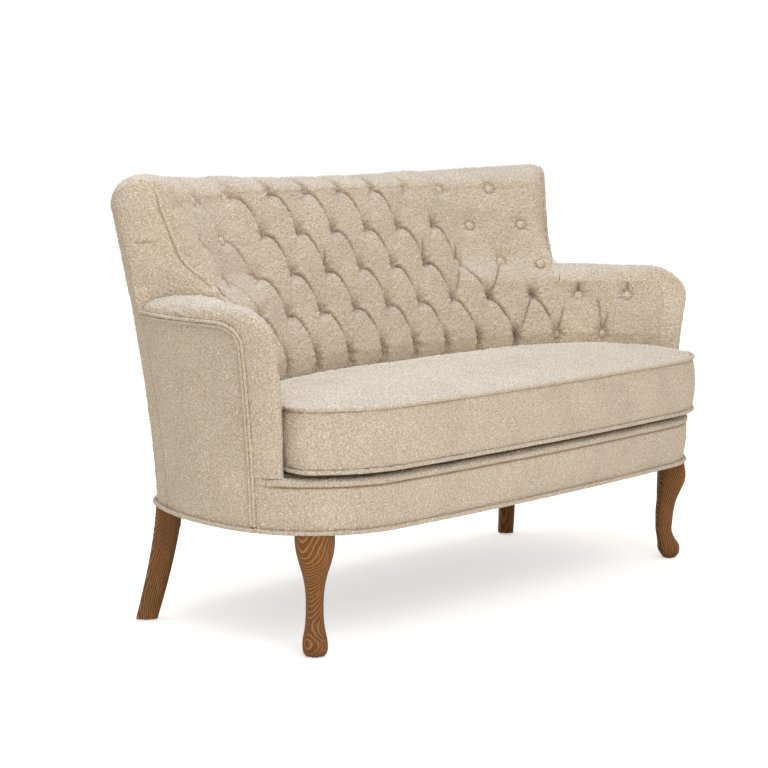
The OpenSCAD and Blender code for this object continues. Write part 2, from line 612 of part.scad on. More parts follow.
// height of the seam between an arm's pad and its band, and the distance up the lean to it
function seam_z(s) = band_edge_z - gap - (arm_corner_r + frame_gap)
    * (1 - sqrt(1 - pow(clamp((s - arm_front_s) / arm_corner_r, 0, 1), 2)));
function seam_t(s) = (seam_z(s) - row_z + crest_n(s) * sin(lean)) / cos(lean);
module inside_arm() {
    columns = [for (i = [20, 21, 22, 23, 24, 25, 26, 27, 28, 28.5, 28.8, 29])
        column_s(i) + (i == 20 ? gap : 0)];
    heights = concat([low_t, -0.6 * row_gap], [for (i = [-1:2]) i * cell_t]);
    // rows above the lowest buttons close up where the seam comes down at the front
    function drawn(s, t) = t > 0 ? t * seam_t(s) / seam_t(arm_front_s) : t;
    color(boucle) skin(
        concat([for (t = heights) [for (s = columns)
                face_pt(s, drawn(s, t), tuft_share(s, t, arm_top_t))]],
            [[for (s = columns) face_pt(s, seam_t(s), 1)]]),
        [for (f = [-1, 0, 1]) [for (s = columns) rear_pt(s, f < 0 ? row_z + low_t : f > 0 ? seam_z(s) : row_z)]]);
}
// padded front of a wing, closed over by the same roll as the back
module wing_face() {
    s = wing_s;
    across_s = wing_s + gap + wing_t / 2;
    low = band_edge_z + gap;
    color(boucle) across(across_s, wing_t) polygon(concat(
        [for (f = [0:0.25:1]) let(z = mix(low, roll_edge_z, f)) [thick(s, z), z]],
        [for (k = [150:-30:30]) roll_nz(s, k)],
        [for (f = [1:-0.5:0]) let(z = mix(low, roll_edge_z, f)) [lean_at(z) + crest_n(s), z]]));
}

// Covered buttons, sewn in where the folds meet
button_h = button_r * 0.55;
// how far the folds beside a button hold it off the deepest point; above an arm's top row, where the
// seam is near, they are steeper
function button_lift(s, sunk) = let(rise = (pit_n(s) - crest_n(s)) * button_r)
    sunk > 0 ? rise / (seam_t(arm_front_s) - arm_top_t) / top_reach_share - sunk * button_seat
        : rise / cell_s * sin(45) + button_seat;
module button(s, row, sunk = 0, proud = false) {
    a = line_at(abs(s))[2];
    up = row > 0 ? lean : 0;
    n = proud ? crest_n(s) * cos(lean) - gap : pit_n(s) - button_lift(s, sunk);
    p = inside_xy(s, row * row_gap * sin(lean) + n * cos(up));
    translate([p[0], p[1], row_z + row * row_gap * cos(lean) - n * sin(up)])
        rotate([0, 0, -sign(s) * a]) rotate([90 - up, 0, 0])
            tube([for (k = [0, 35, 65]) [for (i = [0:36:324])
                let(e = polar(button_r * cos(k), i)) [e[0], e[1], button_h * sin(k) / sin(65)]]]);
}
module back_buttons() {
    color(boucle) for (row = [0:4], k = [-5:5]) {
        s = (k + (row % 2) / 2) * button_gap;
        if (abs(s) < wing_s - cell_s)
            button(s, row);
    }
}
module arm_buttons() {
    color(boucle) for (side = [-1, 1]) {
        for (i = [24, 28])
            button(side * column_s(i), 0);
        // column and how deep its button sinks between the steeper folds, in seats
        for (at = [[22, 2.6], [26, 2]])
            button(side * column_s(at[0]), 1, sunk = at[1]);
        button(side * wing_s, 2, proud = true);
    }
}

// Arm bands: over the top of an arm and down its front, between the inside pad and the outer seam
function top_ring(s) = let(
    z = band_edge_z + gap, n0 = thick(s, band_edge_z), t = seam_t(s),
    n1 = t * sin(lean) + crest_n(s) * cos(lean))
    [for (k = [0:30:180]) at_nz(s, [mix(n0, n1, (1 - cos(k)) / 2), z + (band_rise - gap) * sin(k)]),
        at_nz(s, [mix(n1, n0, 1 / 3), z]), at_nz(s, [mix(n1, n0, 2 / 3), z])];
function front_ring(z) = let(s = pad_end_s + gap, b = inside_xy(s, lean_at(z) + crest_n(s)),
    r = inside_xy(s, rear_n(s) + lean_at(z)), nose = outline_xyz(facing_seam, z))
    [for (f = [0:0.25:0.75]) outline_xyz(mix(welt_seam, facing_seam, f), z), nose,
        [mix(nose[0], b[0], 0.5), mix(nose[1], b[1], 0.5), z], [b[0], b[1], z], [r[0], r[1], z],
        outline_xyz(welt_seam, z, -facing_t)];
module arm_band() {
    over = top_ring(arm_front_s);
    down = front_ring(arm_front_z);
    corner = [for (p = over) front_ring(p[2])];
    color(boucle) tube(concat(
        [for (f = [0:0.2:0.81]) top_ring(mix(band_s, arm_front_s, f))],
        [for (k = [0:22.5:90]) [for (i = [0:len(over) - 1]) let(x = corner[i][i])
            x + (over[i] - x) * (1 - sin(k)) + (down[i] - x) * (1 - cos(k))]],
        [for (f = [0.25:0.25:1]) front_ring(mix(arm_front_z, border_top + gap, f))]));
}

// Outside covers
function wing_angle(z) = meet(wing_s, z)[1];
BACK_STOPS = [for (a = STOPS) if (a > side_angle + 1 && a < 90) a];
// normal angles across the outside back at height z, from wing seam to wing seam
function back_angles(z) = let(a = wing_angle(z), first = BACK_STOPS[0], half = concat(
    [for (f = [0, 1 / 3, 2 / 3]) mix(a, first, f)], BACK_STOPS))
    concat(half, [90], [for (i = [len(half) - 1:-1:0]) 180 - half[i]]);
module outside_back() {
    heights = [for (f = [0:0.2:1]) mix(base_z, roll_edge_z, f)];
    color(boucle) skin(
        [for (z = heights) [for (a = back_angles(z)) outline_xyz(a, z)]],
        [for (z = heights) [for (a = back_angles(z)) outline_xyz(a, z, -shell_t)]]);
}
ARM_COVER_shares = [0, 0.12, 0.25, 0.4, 0.55, 0.7, 0.85, 1];
module outside_arm() {
    heights = concat([for (f = [0:0.25:1]) mix(base_z, arm_front_z, f)],
        [for (k = [22.5:22.5:90]) arm_front_z + arm_corner_r * sin(k)]);
    function angles(z) = [for (f = ARM_COVER_shares)
        mix(turned(front_angle(z), frame_gap), turned(wing_angle(z), -frame_gap), f)];
    color(boucle) skin([for (z = heights) [for (a = angles(z)) outline_xyz(a, z)]],
        [for (z = heights) [for (a = angles(z)) outline_xyz(a, z, -shell_t)]]);
}
// how far the front border stands out of the outline; it dies away towards the double welts
function border_out(a, z) = flare_at(z) + side_bulge * sin(180 * (z - base_z) / (border_top - base_z))
    * ease(min(welt_seam - a, a + 180 + welt_seam) / border_fade);
module front_border() {
    heights = [for (f = [0:0.25:1]) mix(base_z, border_top, f)];
    angles = spread(-180 - welt_seam, welt_seam);
    color(boucle) skin(
        [for (z = heights) [for (a = angles) let(p = outline_xy(a, border_out(a, z))) [p[0], p[1], z]]],
        [for (z = heights) [for (a = angles) let(p = outline_xy(a, -border_t)) [p[0], p[1], z]]]);
}

// Welts
WELT_RING = [for (k = [0:60:300]) polar(1, k)];
// ring of a cord round p, with the unit vector out of the cover given by its angle
function cord_ring(p, out, r) = [for (k = WELT_RING)
    [p[0] + r * k[0] * cos(out), p[1] + r * k[0] * sin(out), p[2] - r * k[1]]];
// route of the double welt's seam: along the arm, round its corner and down to the base; each stop
// holds the normal angle, the height and the direction across the seam
WELT_ROUTE = let(a1 = arm_front_angle, a0 = meet(band_s, band_edge_z)[1])
    concat([for (f = [0:0.125:0.9]) [mix(a0, a1, f), band_edge_z, 90]],
        [for (k = [90:-18:0]) [mix(a1, welt_seam, cos(k)), arm_front_z + arm_corner_r * sin(k), k]],
        [for (f = [0.25:0.25:1]) [welt_seam, mix(arm_front_z, base_z + 1.5 * welt_d, f), 0]]);
// one cord of a pair, side is 1 for the one next to the band and -1 for the other
module welt_cord(side) {
    r = double_welt_d / 2;
    tube([for (w = WELT_ROUTE) let(
        a = w[0], z = w[1], step = side * (r + gap / 2), radius = corner_r + flare_at(z),
        along = -step * cos(w[2]) / radius * 180 / PI,
        p = outline_xyz(a + along, z + step * sin(w[2]), r + gap),
        out = a + along)
        [for (k = WELT_RING) [p[0] + r * (k[0] * cos(out) + k[1] * cos(w[2]) * sin(out)),
            p[1] + r * (k[0] * sin(out) - k[1] * cos(w[2]) * cos(out)), p[2] + r * k[1] * sin(w[2])]]]);
}
module double_welt() {
    color(boucle_light) for (side = [-1, 1]) welt_cord(side);
}
module base_welt() {
    r = welt_d / 2;
    out = r + gap + border_out(front_joint, base_z + welt_d);
    color(boucle_light) tube([for (a = LOOP) let(p = outline_xy(a, out))
        cord_ring([p[0], p[1], base_z + r], a, r)], closed = true);
}

// Seat cushion: points of its outline with the angle of the outward normal
CUSHION_STOPS = concat([for (i = [28:-1:1]) column_s(i)], [0]);
function half_cushion() = concat(
    [for (a = spread(-90, ear_angle)) [outline_xy(a, cushion_overhang), a]],
    [let(p = outline_xy(facing_seam, -ear_in)) [p, 0]],
    [for (s = CUSHION_STOPS) let(p = inside_xy(s, crest_n(s) - welt_d),
        rear_y = inside_y - tuft_depth - cushion_back_gap)
        if (s > 0) [[p[0], min(p[1], rear_y)], 90 - line_at(s)[2]]]);
CUSHION = let(h = half_cushion()) concat(h,
    [for (i = [len(h) - 1:-1:1]) [flip(h[i][0]), 180 - h[i][1]]]);
function cushion_ring(inset, z, bulge = 0) = [for (c = CUSHION)
    let(p = c[0] + polar(-inset + bulge * (sin(c[1]) < 0 ? 1 : 0), c[1])) [p[0], p[1], z]];
seam_in = welt_d * welt_out_share + gap;
cushion_mid_y = (inside_y - tuft_depth - cushion_back_gap - front_reach - cushion_overhang) / 2;
// ring of the crown, drawn in by a share of the way to the middle
function crown_ring(f) = [for (p = cushion_ring(seam_in, cushion_top))
    [p[0] * (1 - 0.45 * f), mix(p[1], cushion_mid_y, f), cushion_top + cushion_crown * sin(90 * f)]];
module closed_rings(rings, low, high) {
    n = len(rings);
    m = len(rings[0]);
    function v(j, i) = j * m + i % m;
    polyhedron(concat([for (ring = rings) each ring], [low, high]), concat(
        [for (j = [0:n - 2], i = [0:m - 1])
            each [[v(j, i), v(j + 1, i), v(j + 1, i + 1)], [v(j, i), v(j + 1, i + 1), v(j, i + 1)]]],
        [for (i = [0:m - 1]) each [[v(0, i + 1), n * m, v(0, i)], [v(n - 1, i), n * m + 1, v(n - 1, i + 1)]]]));
}
module seat_cushion() {
    soft = welt_d / 2;
    low = seat_z + gap;
    color(boucle) closed_rings(
        [cushion_ring(sag_in, low), cushion_ring(seam_in, cushion_z), cushion_ring(0, cushion_z + soft),
            cushion_ring(0, mix(cushion_z, cushion_top, 0.5), side_bulge),
            cushion_ring(0, cushion_top - soft), cushion_ring(seam_in, cushion_top),
            crown_ring(0.1), crown_ring(0.3), crown_ring(0.6), crown_ring(0.9)],
        [0, cushion_mid_y, low], [0, cushion_mid_y, cushion_top + cushion_crown]);
}
module cushion_welt(z) {
    color(boucle_light) tube([for (c = CUSHION) let(p = c[0] + polar(welt_d * welt_out_share, c[1]))
        cord_ring([p[0], p[1], z], c[1], welt_d / 2)], closed = true);
}
zip_z = (cushion_z + cushion_top) / 2;
zip_y = inside_y - tuft_depth - cushion_back_gap;  // rear face of the cushion
module zip_tape() {
    color(felt) translate([-zip_len / 2, zip_y, zip_z - tape_w / 2]) cube([zip_len, tape_t, tape_w]);
}
module zip_slider() {
    lip = slider_t / 3;
    color(steel) translate([zip_len / 2 - 2 * slider_l, zip_y + tape_t + gap, zip_z - slider_w / 2])
        union() {
            cube([slider_l, lip, slider_w]);
            translate([slider_l / 3, 0, slider_w / 3]) cube([slider_l / 3, slider_t, slider_w / 3]);
        }
}

left() at_front_leg() front_leg();  // front_leg_left
at_front_leg() front_leg();  // front_leg_right
left() at_back_leg() back_leg();  // back_leg_left
at_back_leg() back_leg();  // back_leg_right
leg_glides();
hanger_bolts();
leg_inserts();
front_rail();
back_rail();
left() side_rail();  // side_rail_left
side_rail();  // side_rail_right
rear_spring_rail();
center_stretcher();
corner_blocks();
back_uprights();
top_rail();
arm_stumps();
left() arm_rail();  // arm_rail_left
arm_rail();  // arm_rail_right
seat_springs();
spring_clips();
tie_wires();
deck_pad();
dust_cover();
back_webbing();
inside_back();
left() inside_arm();  // inside_arm_left
inside_arm();  // inside_arm_right
left() wing_face();  // wing_face_left
wing_face();  // wing_face_right
back_buttons();
arm_buttons();
left() arm_band();  // arm_band_left
arm_band();  // arm_band_right
outside_back();
left() outside_arm();  // outside_arm_left
outside_arm();  // outside_arm_right
front_border();
left() double_welt();  // double_welt_left
double_welt();  // double_welt_right
base_welt();
seat_cushion();
cushion_welt(cushion_top);  // cushion_top_welt
cushion_welt(cushion_z);  // cushion_bottom_welt
zip_tape();
zip_slider();
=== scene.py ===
"""Looks for a curved, buttoned two-seat settee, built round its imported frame.

Every size in the plan below is in millimetres and repeats the part's own sizes, so each upholstered
piece lies exactly where its solid lies. Meshes are made in metres.
"""
import json
import logging
import math
from dataclasses import dataclass, field
from enum import Enum
from itertools import product

import bmesh
import bpy
import numpy as np
from bpy.types import ID, Material, Mesh, Node, NodeSocket, NodeTree, Object
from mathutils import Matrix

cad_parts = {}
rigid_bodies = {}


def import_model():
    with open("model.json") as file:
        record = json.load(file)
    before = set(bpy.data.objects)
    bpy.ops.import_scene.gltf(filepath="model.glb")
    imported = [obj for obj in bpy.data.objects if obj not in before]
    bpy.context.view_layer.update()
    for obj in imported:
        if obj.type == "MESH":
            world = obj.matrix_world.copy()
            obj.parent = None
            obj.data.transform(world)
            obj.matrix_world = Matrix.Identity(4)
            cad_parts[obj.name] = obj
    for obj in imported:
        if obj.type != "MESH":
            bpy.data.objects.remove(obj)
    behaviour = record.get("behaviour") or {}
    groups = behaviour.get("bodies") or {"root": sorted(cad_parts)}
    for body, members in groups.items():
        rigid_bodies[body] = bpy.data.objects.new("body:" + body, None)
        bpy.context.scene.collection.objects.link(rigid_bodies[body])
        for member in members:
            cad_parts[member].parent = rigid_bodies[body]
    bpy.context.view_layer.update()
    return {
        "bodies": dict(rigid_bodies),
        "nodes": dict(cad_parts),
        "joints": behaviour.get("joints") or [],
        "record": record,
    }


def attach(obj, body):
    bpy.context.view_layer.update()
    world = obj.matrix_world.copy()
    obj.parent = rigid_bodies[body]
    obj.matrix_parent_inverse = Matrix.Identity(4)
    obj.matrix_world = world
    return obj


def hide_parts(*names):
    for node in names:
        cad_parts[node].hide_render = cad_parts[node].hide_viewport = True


LOG = logging.getLogger("settee")
MM = 0.001
SEED = 7
SIDES = {-1: "left", 1: "right"}
# how much higher the yarn stands on level faces, and how many more nubs lie there
LEVEL_LIFT, LEVEL_NUBS = 0.7, 1.2
# scale of a wave texture whose bands lie a millimetre apart
WAVE_MM = 0.314 / MM
Value = float | np.ndarray


class Slot(str, Enum):
    """Material slots of the record."""

    OAK = "oak"
    STEEL = "steel"
    BEECH = "beech"
    PLYWOOD = "plywood"
    FELT = "felt"
    LINING = "lining"
    JUTE = "jute"
    BOUCLE = "boucle"
    WELT = "boucle_welt"
    ZIP = "zip_cloth"


class Body(str, Enum):
    """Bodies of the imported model."""

    SETTEE = "settee"
    CUSHION = "cushion"


# Small helpers
def linear(hex_colour: str) -> tuple[float, float, float, float]:
    """Turns a screen colour into the renderer's linear one."""
    parts = [int(hex_colour[i:i + 2], 16) / 255 for i in (0, 2, 4)]
    return tuple(c / 12.92 if c <= 0.04045 else ((c + 0.055) / 1.055) ** 2.4 for c in parts) + (1.0,)


def ease(f: Value) -> Value:
    """Smooth step from 0 to 1."""
    c = np.clip(f, 0, 1)
    return c * c * (3 - 2 * c)


def mix(a: Value, b: Value, f: Value) -> Value:
    """Straight mix of two values."""
    return a + (b - a) * f


def bell(x: Value, width: float) -> Value:
    """Bell curve of height 1."""
    return np.exp(-(x / width) ** 2)


def noise(points: np.ndarray, seed: int, size: int) -> np.ndarray:
    """Smooth random field with a fixed seed, in the plane or in space.

    Args:
        points: Points in cells, two or three numbers each.
        seed: Seed of the field.
        size: Number of cells after which it repeats.

    Returns:
        Values from -1 to 1.
    """
    count = points.shape[-1]
    table = np.random.default_rng(seed).uniform(-1, 1, (size,) * count)
    low = np.floor(points).astype(int)
    f = ease(points - low)
    total = 0
    for corner in product((0, 1), repeat=count):
        share = np.prod(np.where(corner, f, 1 - f), axis=-1)
        total = total + share * table[tuple(np.moveaxis((low + corner) % size, -1, 0))]
    return total


def flat_noise(x: Value, y: Value, seed: int) -> np.ndarray:
    """Smooth random field from -1 to 1 over a plane whose coordinates count its cells."""
    return noise(np.stack(np.broadcast_arrays(x, y), -1), seed, 64)


def heading(angle: float) -> np.ndarray:
    """Direction in the plan at an angle in degrees from +X."""
    return np.array([math.cos(math.radians(angle)), math.sin(math.radians(angle))])


# The settee's plan
@dataclass
class SetteePlan:
    """Sizes of the settee in millimetres, as in the part's source, and the lines that follow."""

    # outline of the base
    base_w: float = 1300
    front_reach: float = 330
    corner_r: float = 210
    side_r: float = 545
    back_corner_r: float = 200
    base_z: float = 226
    rail_h: float = 86
    # outside of the back
    back_top_z: float = 841
    wing_rise: float = 24
    flare: float = 89
    flare_h: float = 615
    # line along the inside of back and arms
    lean: float = 21.5
    inside_y: float = 122
    ease_r: float = 1000
    wing_r: float = 400
    arm_r: float = 750
    wing_in: float = 92.9
    # buttoning
    row_z: float = 487
    row_gap: float = 85
    tuft_depth: float = 33
    # arms
    arm_top_z: float = 636
    arm_front_y: float = 174.6
    band_rise: float = 34
    arm_corner_r: float = 36
    double_welt_d: float = 6
    # cushion
    cushion_h: float = 112
    cushion_crown: float = 30
    cushion_overhang: float = 18
    cushion_back_gap: float = 16
    welt_d: float = 8
    # thicknesses and drops
    gap: float = 0.3
    dust_cover_t: float = 1
    springs_h: float = 7
    shell_t: float = 10
    border_t: float = 10
    pad_back: float = 25
    arm_pad_back: float = -10
    pad_least: float = 6
    arm_depth: float = 20
    wing_t: float = 12
    facing_t: float = 16
    roll_drop: float = 41
    deck_t: float = 17
    side_bulge: float = 5
    welt_out_share: float = 0.25
    # places and angles on the lines, in degrees where they are angles
    ear_in: float = 18
    ear_angle: float = -38
    bow_angle: float = 3.3
    side_angle: float = 30.4
    back_angle: float = 2
    ease_turn: float = 8
    wing_turn: float = 46
    face_turn: float = 33.285
    welt_seam: float = -11.3
    facing_seam: float = -27
    border_fade: float = 16
    arcs: tuple = field(init=False)

    def __post_init__(self) -> None:
        """Works out the arcs of the outline and of the inside line."""
        half, bow = self.base_w / 2, math.radians(self.bow_angle)
        bow_r = self.corner_r + (half - self.corner_r) / math.sin(bow)
        widest_y = -self.front_reach + bow_r - (bow_r - self.corner_r) * math.cos(bow)
        side = np.array([half - self.side_r, widest_y])
        rear = side + (self.side_r - self.back_corner_r) * heading(self.side_angle)
        back_r = self.back_corner_r + rear[0] / math.sin(math.radians(self.back_angle))
        to_back = 90 - self.back_angle
        back = rear + (self.back_corner_r - back_r) * heading(to_back)
        # first and last normal angle, radius and centre of each arc
        self.arcs = ((-90, self.bow_angle - 90, bow_r, (0, bow_r - self.front_reach)),
                     (self.bow_angle - 90, 0, self.corner_r, (half - self.corner_r, widest_y)),
                     (0, self.side_angle, self.side_r, tuple(side)),
                     (self.side_angle, to_back, self.back_corner_r, tuple(rear)),
                     (to_back, 90, back_r, tuple(back)))
        self.rail_top = self.base_z + self.dust_cover_t + self.rail_h
        self.deck_z = self.rail_top + self.springs_h + self.gap
        self.seat_z = self.deck_z + self.deck_t
        self.border_top = self.seat_z - self.border_t
        self.cushion_z = self.seat_z + self.welt_d / 2 + self.gap
        self.cushion_top = self.cushion_z + self.cushion_h
        self.band_edge_z = self.arm_top_z - self.band_rise
        self.roll_edge_z = self.back_top_z - self.roll_drop
        reach = self._turned((0, 0, 0), self.ease_r, self.ease_turn)
        reach = self._turned(reach, self.wing_r, self.wing_turn)
        self.flat_half = self.base_w / 2 - self.wing_in - reach[0]
        self.s_ease = self.flat_half + math.radians(self.ease_turn) * self.ease_r
        self.s_wing = self.s_ease + math.radians(self.wing_turn) * self.wing_r
        self.p_flat = (self.flat_half, 0, 0)
        self.p_ease = self._turned(self.p_flat, self.ease_r, self.ease_turn)
        self.p_wing = self._turned(self.p_ease, self.wing_r, self.wing_turn)
        depth = self.inside_y + self.p_wing[1] + self.arm_front_y
        arm_turn = math.degrees(math.acos(
            math.cos(math.radians(self.p_wing[2])) - depth / self.arm_r)) - self.p_wing[2]
        self.wing_s = self.s_ease + math.radians(self.face_turn) * self.wing_r
        self.pad_end_s = self.s_wing + math.radians(arm_turn) * self.arm_r
        self.button_gap = self.wing_s / 5
        self.cell_s = self.button_gap / 4
        self.arm_cell = (self.pad_end_s - self.wing_s) / 9
        self.arm_front_s = self.pad_end_s - self.arm_corner_r
        self.arm_front_z = self.band_edge_z - self.arm_corner_r
        self.rows_t = 4 * self.row_gap
        self.band_s = self.wing_s + self.wing_t + self.gap
        self.low_t = self.seat_z + self.gap - self.row_z

    @staticmethod
    def _turned(start: tuple, radius: float, angle: Value) -> tuple:
        """Moves a line's end along an arc.

        Args:
            start: Place along X, place along Y and direction in degrees.
            radius: Radius of the arc.
            angle: Angle of the arc in degrees, a number or an array.

        Returns:
            The same three values at the arc's end.
        """
        a0, a1 = np.radians(start[2]), np.radians(start[2] + angle)
        return (start[0] + radius * (np.sin(a1) - np.sin(a0)),
                start[1] + radius * (np.cos(a1) - np.cos(a0)), start[2] + angle)

    def flare_at(self, z: Value) -> Value:
        """How far the outside has leaned out at a height."""
        return self.flare * (np.maximum(0, z - self.base_z) / self.flare_h) ** 1.5

    def outline(self, a: Value, off: Value = 0.0) -> np.ndarray:
        """Points of the base's outline.

        Args:
            a: Angles of the outward normal, from -180 to 180 by way of the front.
            off: Distance out.

        Returns:
            Points with X and Y in the last axis.
        """
        a, off = np.broadcast_arrays(np.asarray(a, float), np.asarray(off, float))
        left = np.abs(a) > 90
        b = np.where(a < -90, -180 - a, np.where(a > 90, 180 - a, a))
        x, y = np.zeros_like(b), np.zeros_like(b)
        for low, high, radius, centre in self.arcs:
            here = (b >= low - 1e-9) & (b <= high + 1e-9)
            x = np.where(here, centre[0] + (radius + off) * np.cos(np.radians(b)), x)
            y = np.where(here, centre[1] + (radius + off) * np.sin(np.radians(b)), y)
        return np.stack([np.where(left, -x, x), y], -1)

    def outside(self, a: Value, z: Value, off: Value = 0.0) -> np.ndarray:
        """Points of the outside covers."""
        a, z, off = np.broadcast_arrays(*(np.asarray(k, float) for k in (a, z, off)))
        return np.concatenate([self.outline(a, self.flare_at(z) + off), z[..., None]], -1)

    def line_at(self, s: Value) -> list:
        """The inside line at the lowest buttons.

        Args:
            s: Distances along it from its middle, not below 0.

        Returns:
            X, Y from its deepest line and direction in degrees.
        """
        s = np.asarray(s, float)
        spans = ((s <= self.flat_half, (s, 0 * s, 0 * s)),
                 (s <= self.s_ease, self._turned(
                     self.p_flat, self.ease_r, np.degrees((s - self.flat_half) / self.ease_r))),
                 (s <= self.s_wing, self._turned(
                     self.p_ease, self.wing_r, np.degrees((s - self.s_ease) / self.wing_r))),
                 (s > self.s_wing, self._turned(
                     self.p_wing, self.arm_r, np.degrees((s - self.s_wing) / self.arm_r))))
        return [np.select([k[0] for k in spans], [k[1][i] for k in spans]) for i in range(3)]

    def inside(self, s: Value, n: Value, z: Value) -> np.ndarray:
        """Points by distance along the inside line, distance out along its normal and height.

        Args:
            s: Distances along the line.
            n: Distances out.
            z: Heights.

        Returns:
            Points in the last axis.
        """
        s, n, z = np.broadcast_arrays(*(np.asarray(k, float) for k in (s, n, z)))
        x, y, a = self.line_at(np.abs(s))
        a = np.radians(a)
        return np.stack([np.sign(s) * (x + n * np.sin(a)), self.inside_y + y + n * np.cos(a), z], -1)

    def meet(self, s: Value, z: Value) -> tuple:
        """Where the normal at s meets the covers.

        Args:
            s: Distances along the inside line.
            z: Heights.

        Returns:
            Distance out and the normal angle of the outline there.
        """
        s, z = np.broadcast_arrays(np.asarray(s, float), np.asarray(z, float))
        x, y, turn = self.line_at(np.abs(s))
        turn = np.radians(turn)
        dx, dy = np.sin(turn), np.cos(turn)
        far, angle = np.zeros_like(x), np.zeros_like(x)
        done = np.zeros(x.shape, bool)
        for low, high, radius, centre in self.arcs:
            mx, my = x - centre[0], self.inside_y + y - centre[1]
            b = mx * dx + my * dy
            g = b * b - mx * mx - my * my + (radius + self.flare_at(z)) ** 2
            t = np.sqrt(np.maximum(g, 0)) - b
            w = np.degrees(np.arctan2(my + t * dy, mx + t * dx))
            here = ~done & (g > 0) & (w >= low - 0.01) & (w <= high + 0.01)
            far, angle, done = np.where(here, t, far), np.where(here, w, angle), done | here
        return far, angle

    def lean_at(self, z: Value) -> Value:
        """How far the inside face has leaned back at a height."""
        return np.maximum(0, z - self.row_z) * math.tan(math.radians(self.lean))

    def rear_n(self, s: Value) -> Value:
        """Distance out to the rear of the buttoned pads."""
        f = (np.abs(s) - self.wing_s) / (self.pad_end_s - self.wing_s)
        return mix(self.pad_back, self.arm_pad_back, np.clip(f, 0, 1))

    def crest_n(self, s: Value) -> Value:
        """Distance out to the crests between buttons, below 0."""
        return -mix(self.tuft_depth, self.arm_depth, ease((np.abs(s) - self.wing_s) / self.button_gap + 0.5))

    def pit_n(self, s: Value) -> Value:
        """Distance out to the bottoms of the buttoned pits."""
        return np.minimum(0, self.rear_n(s) - self.pad_least)

    def column(self, s: Value) -> Value:
        """Column of the buttoning at a distance along the line, four to a button, below 0 to the left."""
        far = np.abs(s)
        return np.sign(s) * np.where(
            far <= self.wing_s, far / self.cell_s, 20 + (far - self.wing_s) / self.arm_cell)

    def column_s(self, i: Value) -> Value:
        """Distance along the line to a column."""
        far = np.abs(i)
        return np.sign(i) * np.where(
            far <= 20, far * self.cell_s, self.wing_s + (far - 20) * self.arm_cell)

    def top_z(self, s: Value) -> Value:
        """Height of the back's top edge."""
        return self.back_top_z + self.wing_rise * (np.abs(s) / self.wing_s) ** 2

    def seam_z(self, s: Value) -> Value:
        """Height of the seam between an arm's pad and its band."""
        f = np.clip((s - self.arm_front_s) / self.arm_corner_r, 0, 1)
        return self.band_edge_z - self.gap - (self.arm_corner_r + 1) * (1 - np.sqrt(1 - f ** 2))

    def seam_t(self, s: Value) -> Value:
        """Distance up the lean to that seam."""
        a = math.radians(self.lean)
        return (self.seam_z(s) - self.row_z + self.crest_n(s) * math.sin(a)) / math.cos(a)


# Meshes
def linked(name: str, data: ID) -> Object:
    """Puts a new object into the scene.

    Args:
        name: Its name.
        data: Its mesh, lamp or camera.

    Returns:
        The object.
    """
    obj = bpy.data.objects.new(name, data)
    bpy.context.scene.collection.objects.link(obj)
    return obj


def mesh_object(name: str, points: np.ndarray, faces: list, smooth: bool = True) -> Object:
    """Makes a closed mesh at the origin from points in millimetres, its faces turned outwards.

    Args:
        name: Name of the piece.
        points: Points, three numbers each.
        faces: Faces as lists of point numbers.
        smooth: Whether its faces are shaded smooth.

    Returns:
        The new object.
    """
    mesh = bpy.data.meshes.new(name)
    mesh.from_pydata((np.asarray(points, float).reshape(-1, 3) * MM).tolist(), [], faces)
    work = bmesh.new()
    work.from_mesh(mesh)
    bmesh.ops.recalc_face_normals(work, faces=work.faces)
    if work.calc_volume(signed=True) < 0:
        bmesh.ops.reverse_faces(work, faces=work.faces)
    work.to_mesh(mesh)
    work.free()
    mesh.polygons.foreach_set("use_smooth", [smooth] * len(mesh.polygons))
    mesh.set_sharp_from_angle(angle=math.radians(62))
    return linked(name, mesh)


def grid_faces(rows: int, columns: int, first: int = 0, closed: bool = False, looped: bool = False) -> list:
    """Quads of a grid of points numbered row by row.

    Args:
        rows: Number of rows.
        columns: Number of points in a row.
        first: Number of the first point.
        closed: Whether the last column joins the first.
        looped: Whether the last row joins the first.

    Returns:
        The faces.
    """
    j, i = np.meshgrid(np.arange(rows if looped else rows - 1),
                       np.arange(columns if closed else columns - 1), indexing="ij")
    j1, i1 = (j + 1) % rows, (i + 1) % columns
    quads = np.stack([j * columns + i, j * columns + i1, j1 * columns + i1, j1 * columns + i], -1)
    return (quads.reshape(-1, 4) + first).tolist()


def zipped(a: list, b: list) -> list:
    """Triangles between two runs of points that start and end side by side.

    Args:
        a: Point numbers of the first run.
        b: Point numbers of the second run.

    Returns:
        The faces.
    """
    faces, i, j = [], 0, 0
    while i < len(a) - 1 or j < len(b) - 1:
        if j == len(b) - 1 or (i < len(a) - 1 and (i + 1) * (len(b) - 1) <= (j + 1) * (len(a) - 1)):
            faces.append([a[i], a[i + 1], b[j]])
            i += 1
        else:
            faces.append([a[i], b[j + 1], b[j]])
            j += 1
    return faces


def shell(name: str, front: np.ndarray, rear: np.ndarray, fold: np.ndarray | None = None) -> Object:
    """Closed piece between two grids with equally long rows.

    Args:
        name: Name of the piece.
        front: Rows of points of the outer face.
        rear: Rows of the hidden face, going on from the front's last row round to its first.
        fold: Painted shade of the front's folds.

    Returns:
        The new object; its first points are the front's.
    """
    grid = np.concatenate([front, rear])
    n, m = grid.shape[:2]
    faces = grid_faces(n, m, looped=True)
    for i in (0, m - 1):
        column = [j * m + i for j in range(n)]
        faces += zipped(column[:len(front)], column[:len(front) - 1:-1])
    obj = mesh_object(name, grid, faces)
    point_value(obj, "shown", np.ones(front.shape[:2]))
    if fold is not None:
        point_value(obj, "fold", np.broadcast_to(fold, front.shape[:2]))
    return obj


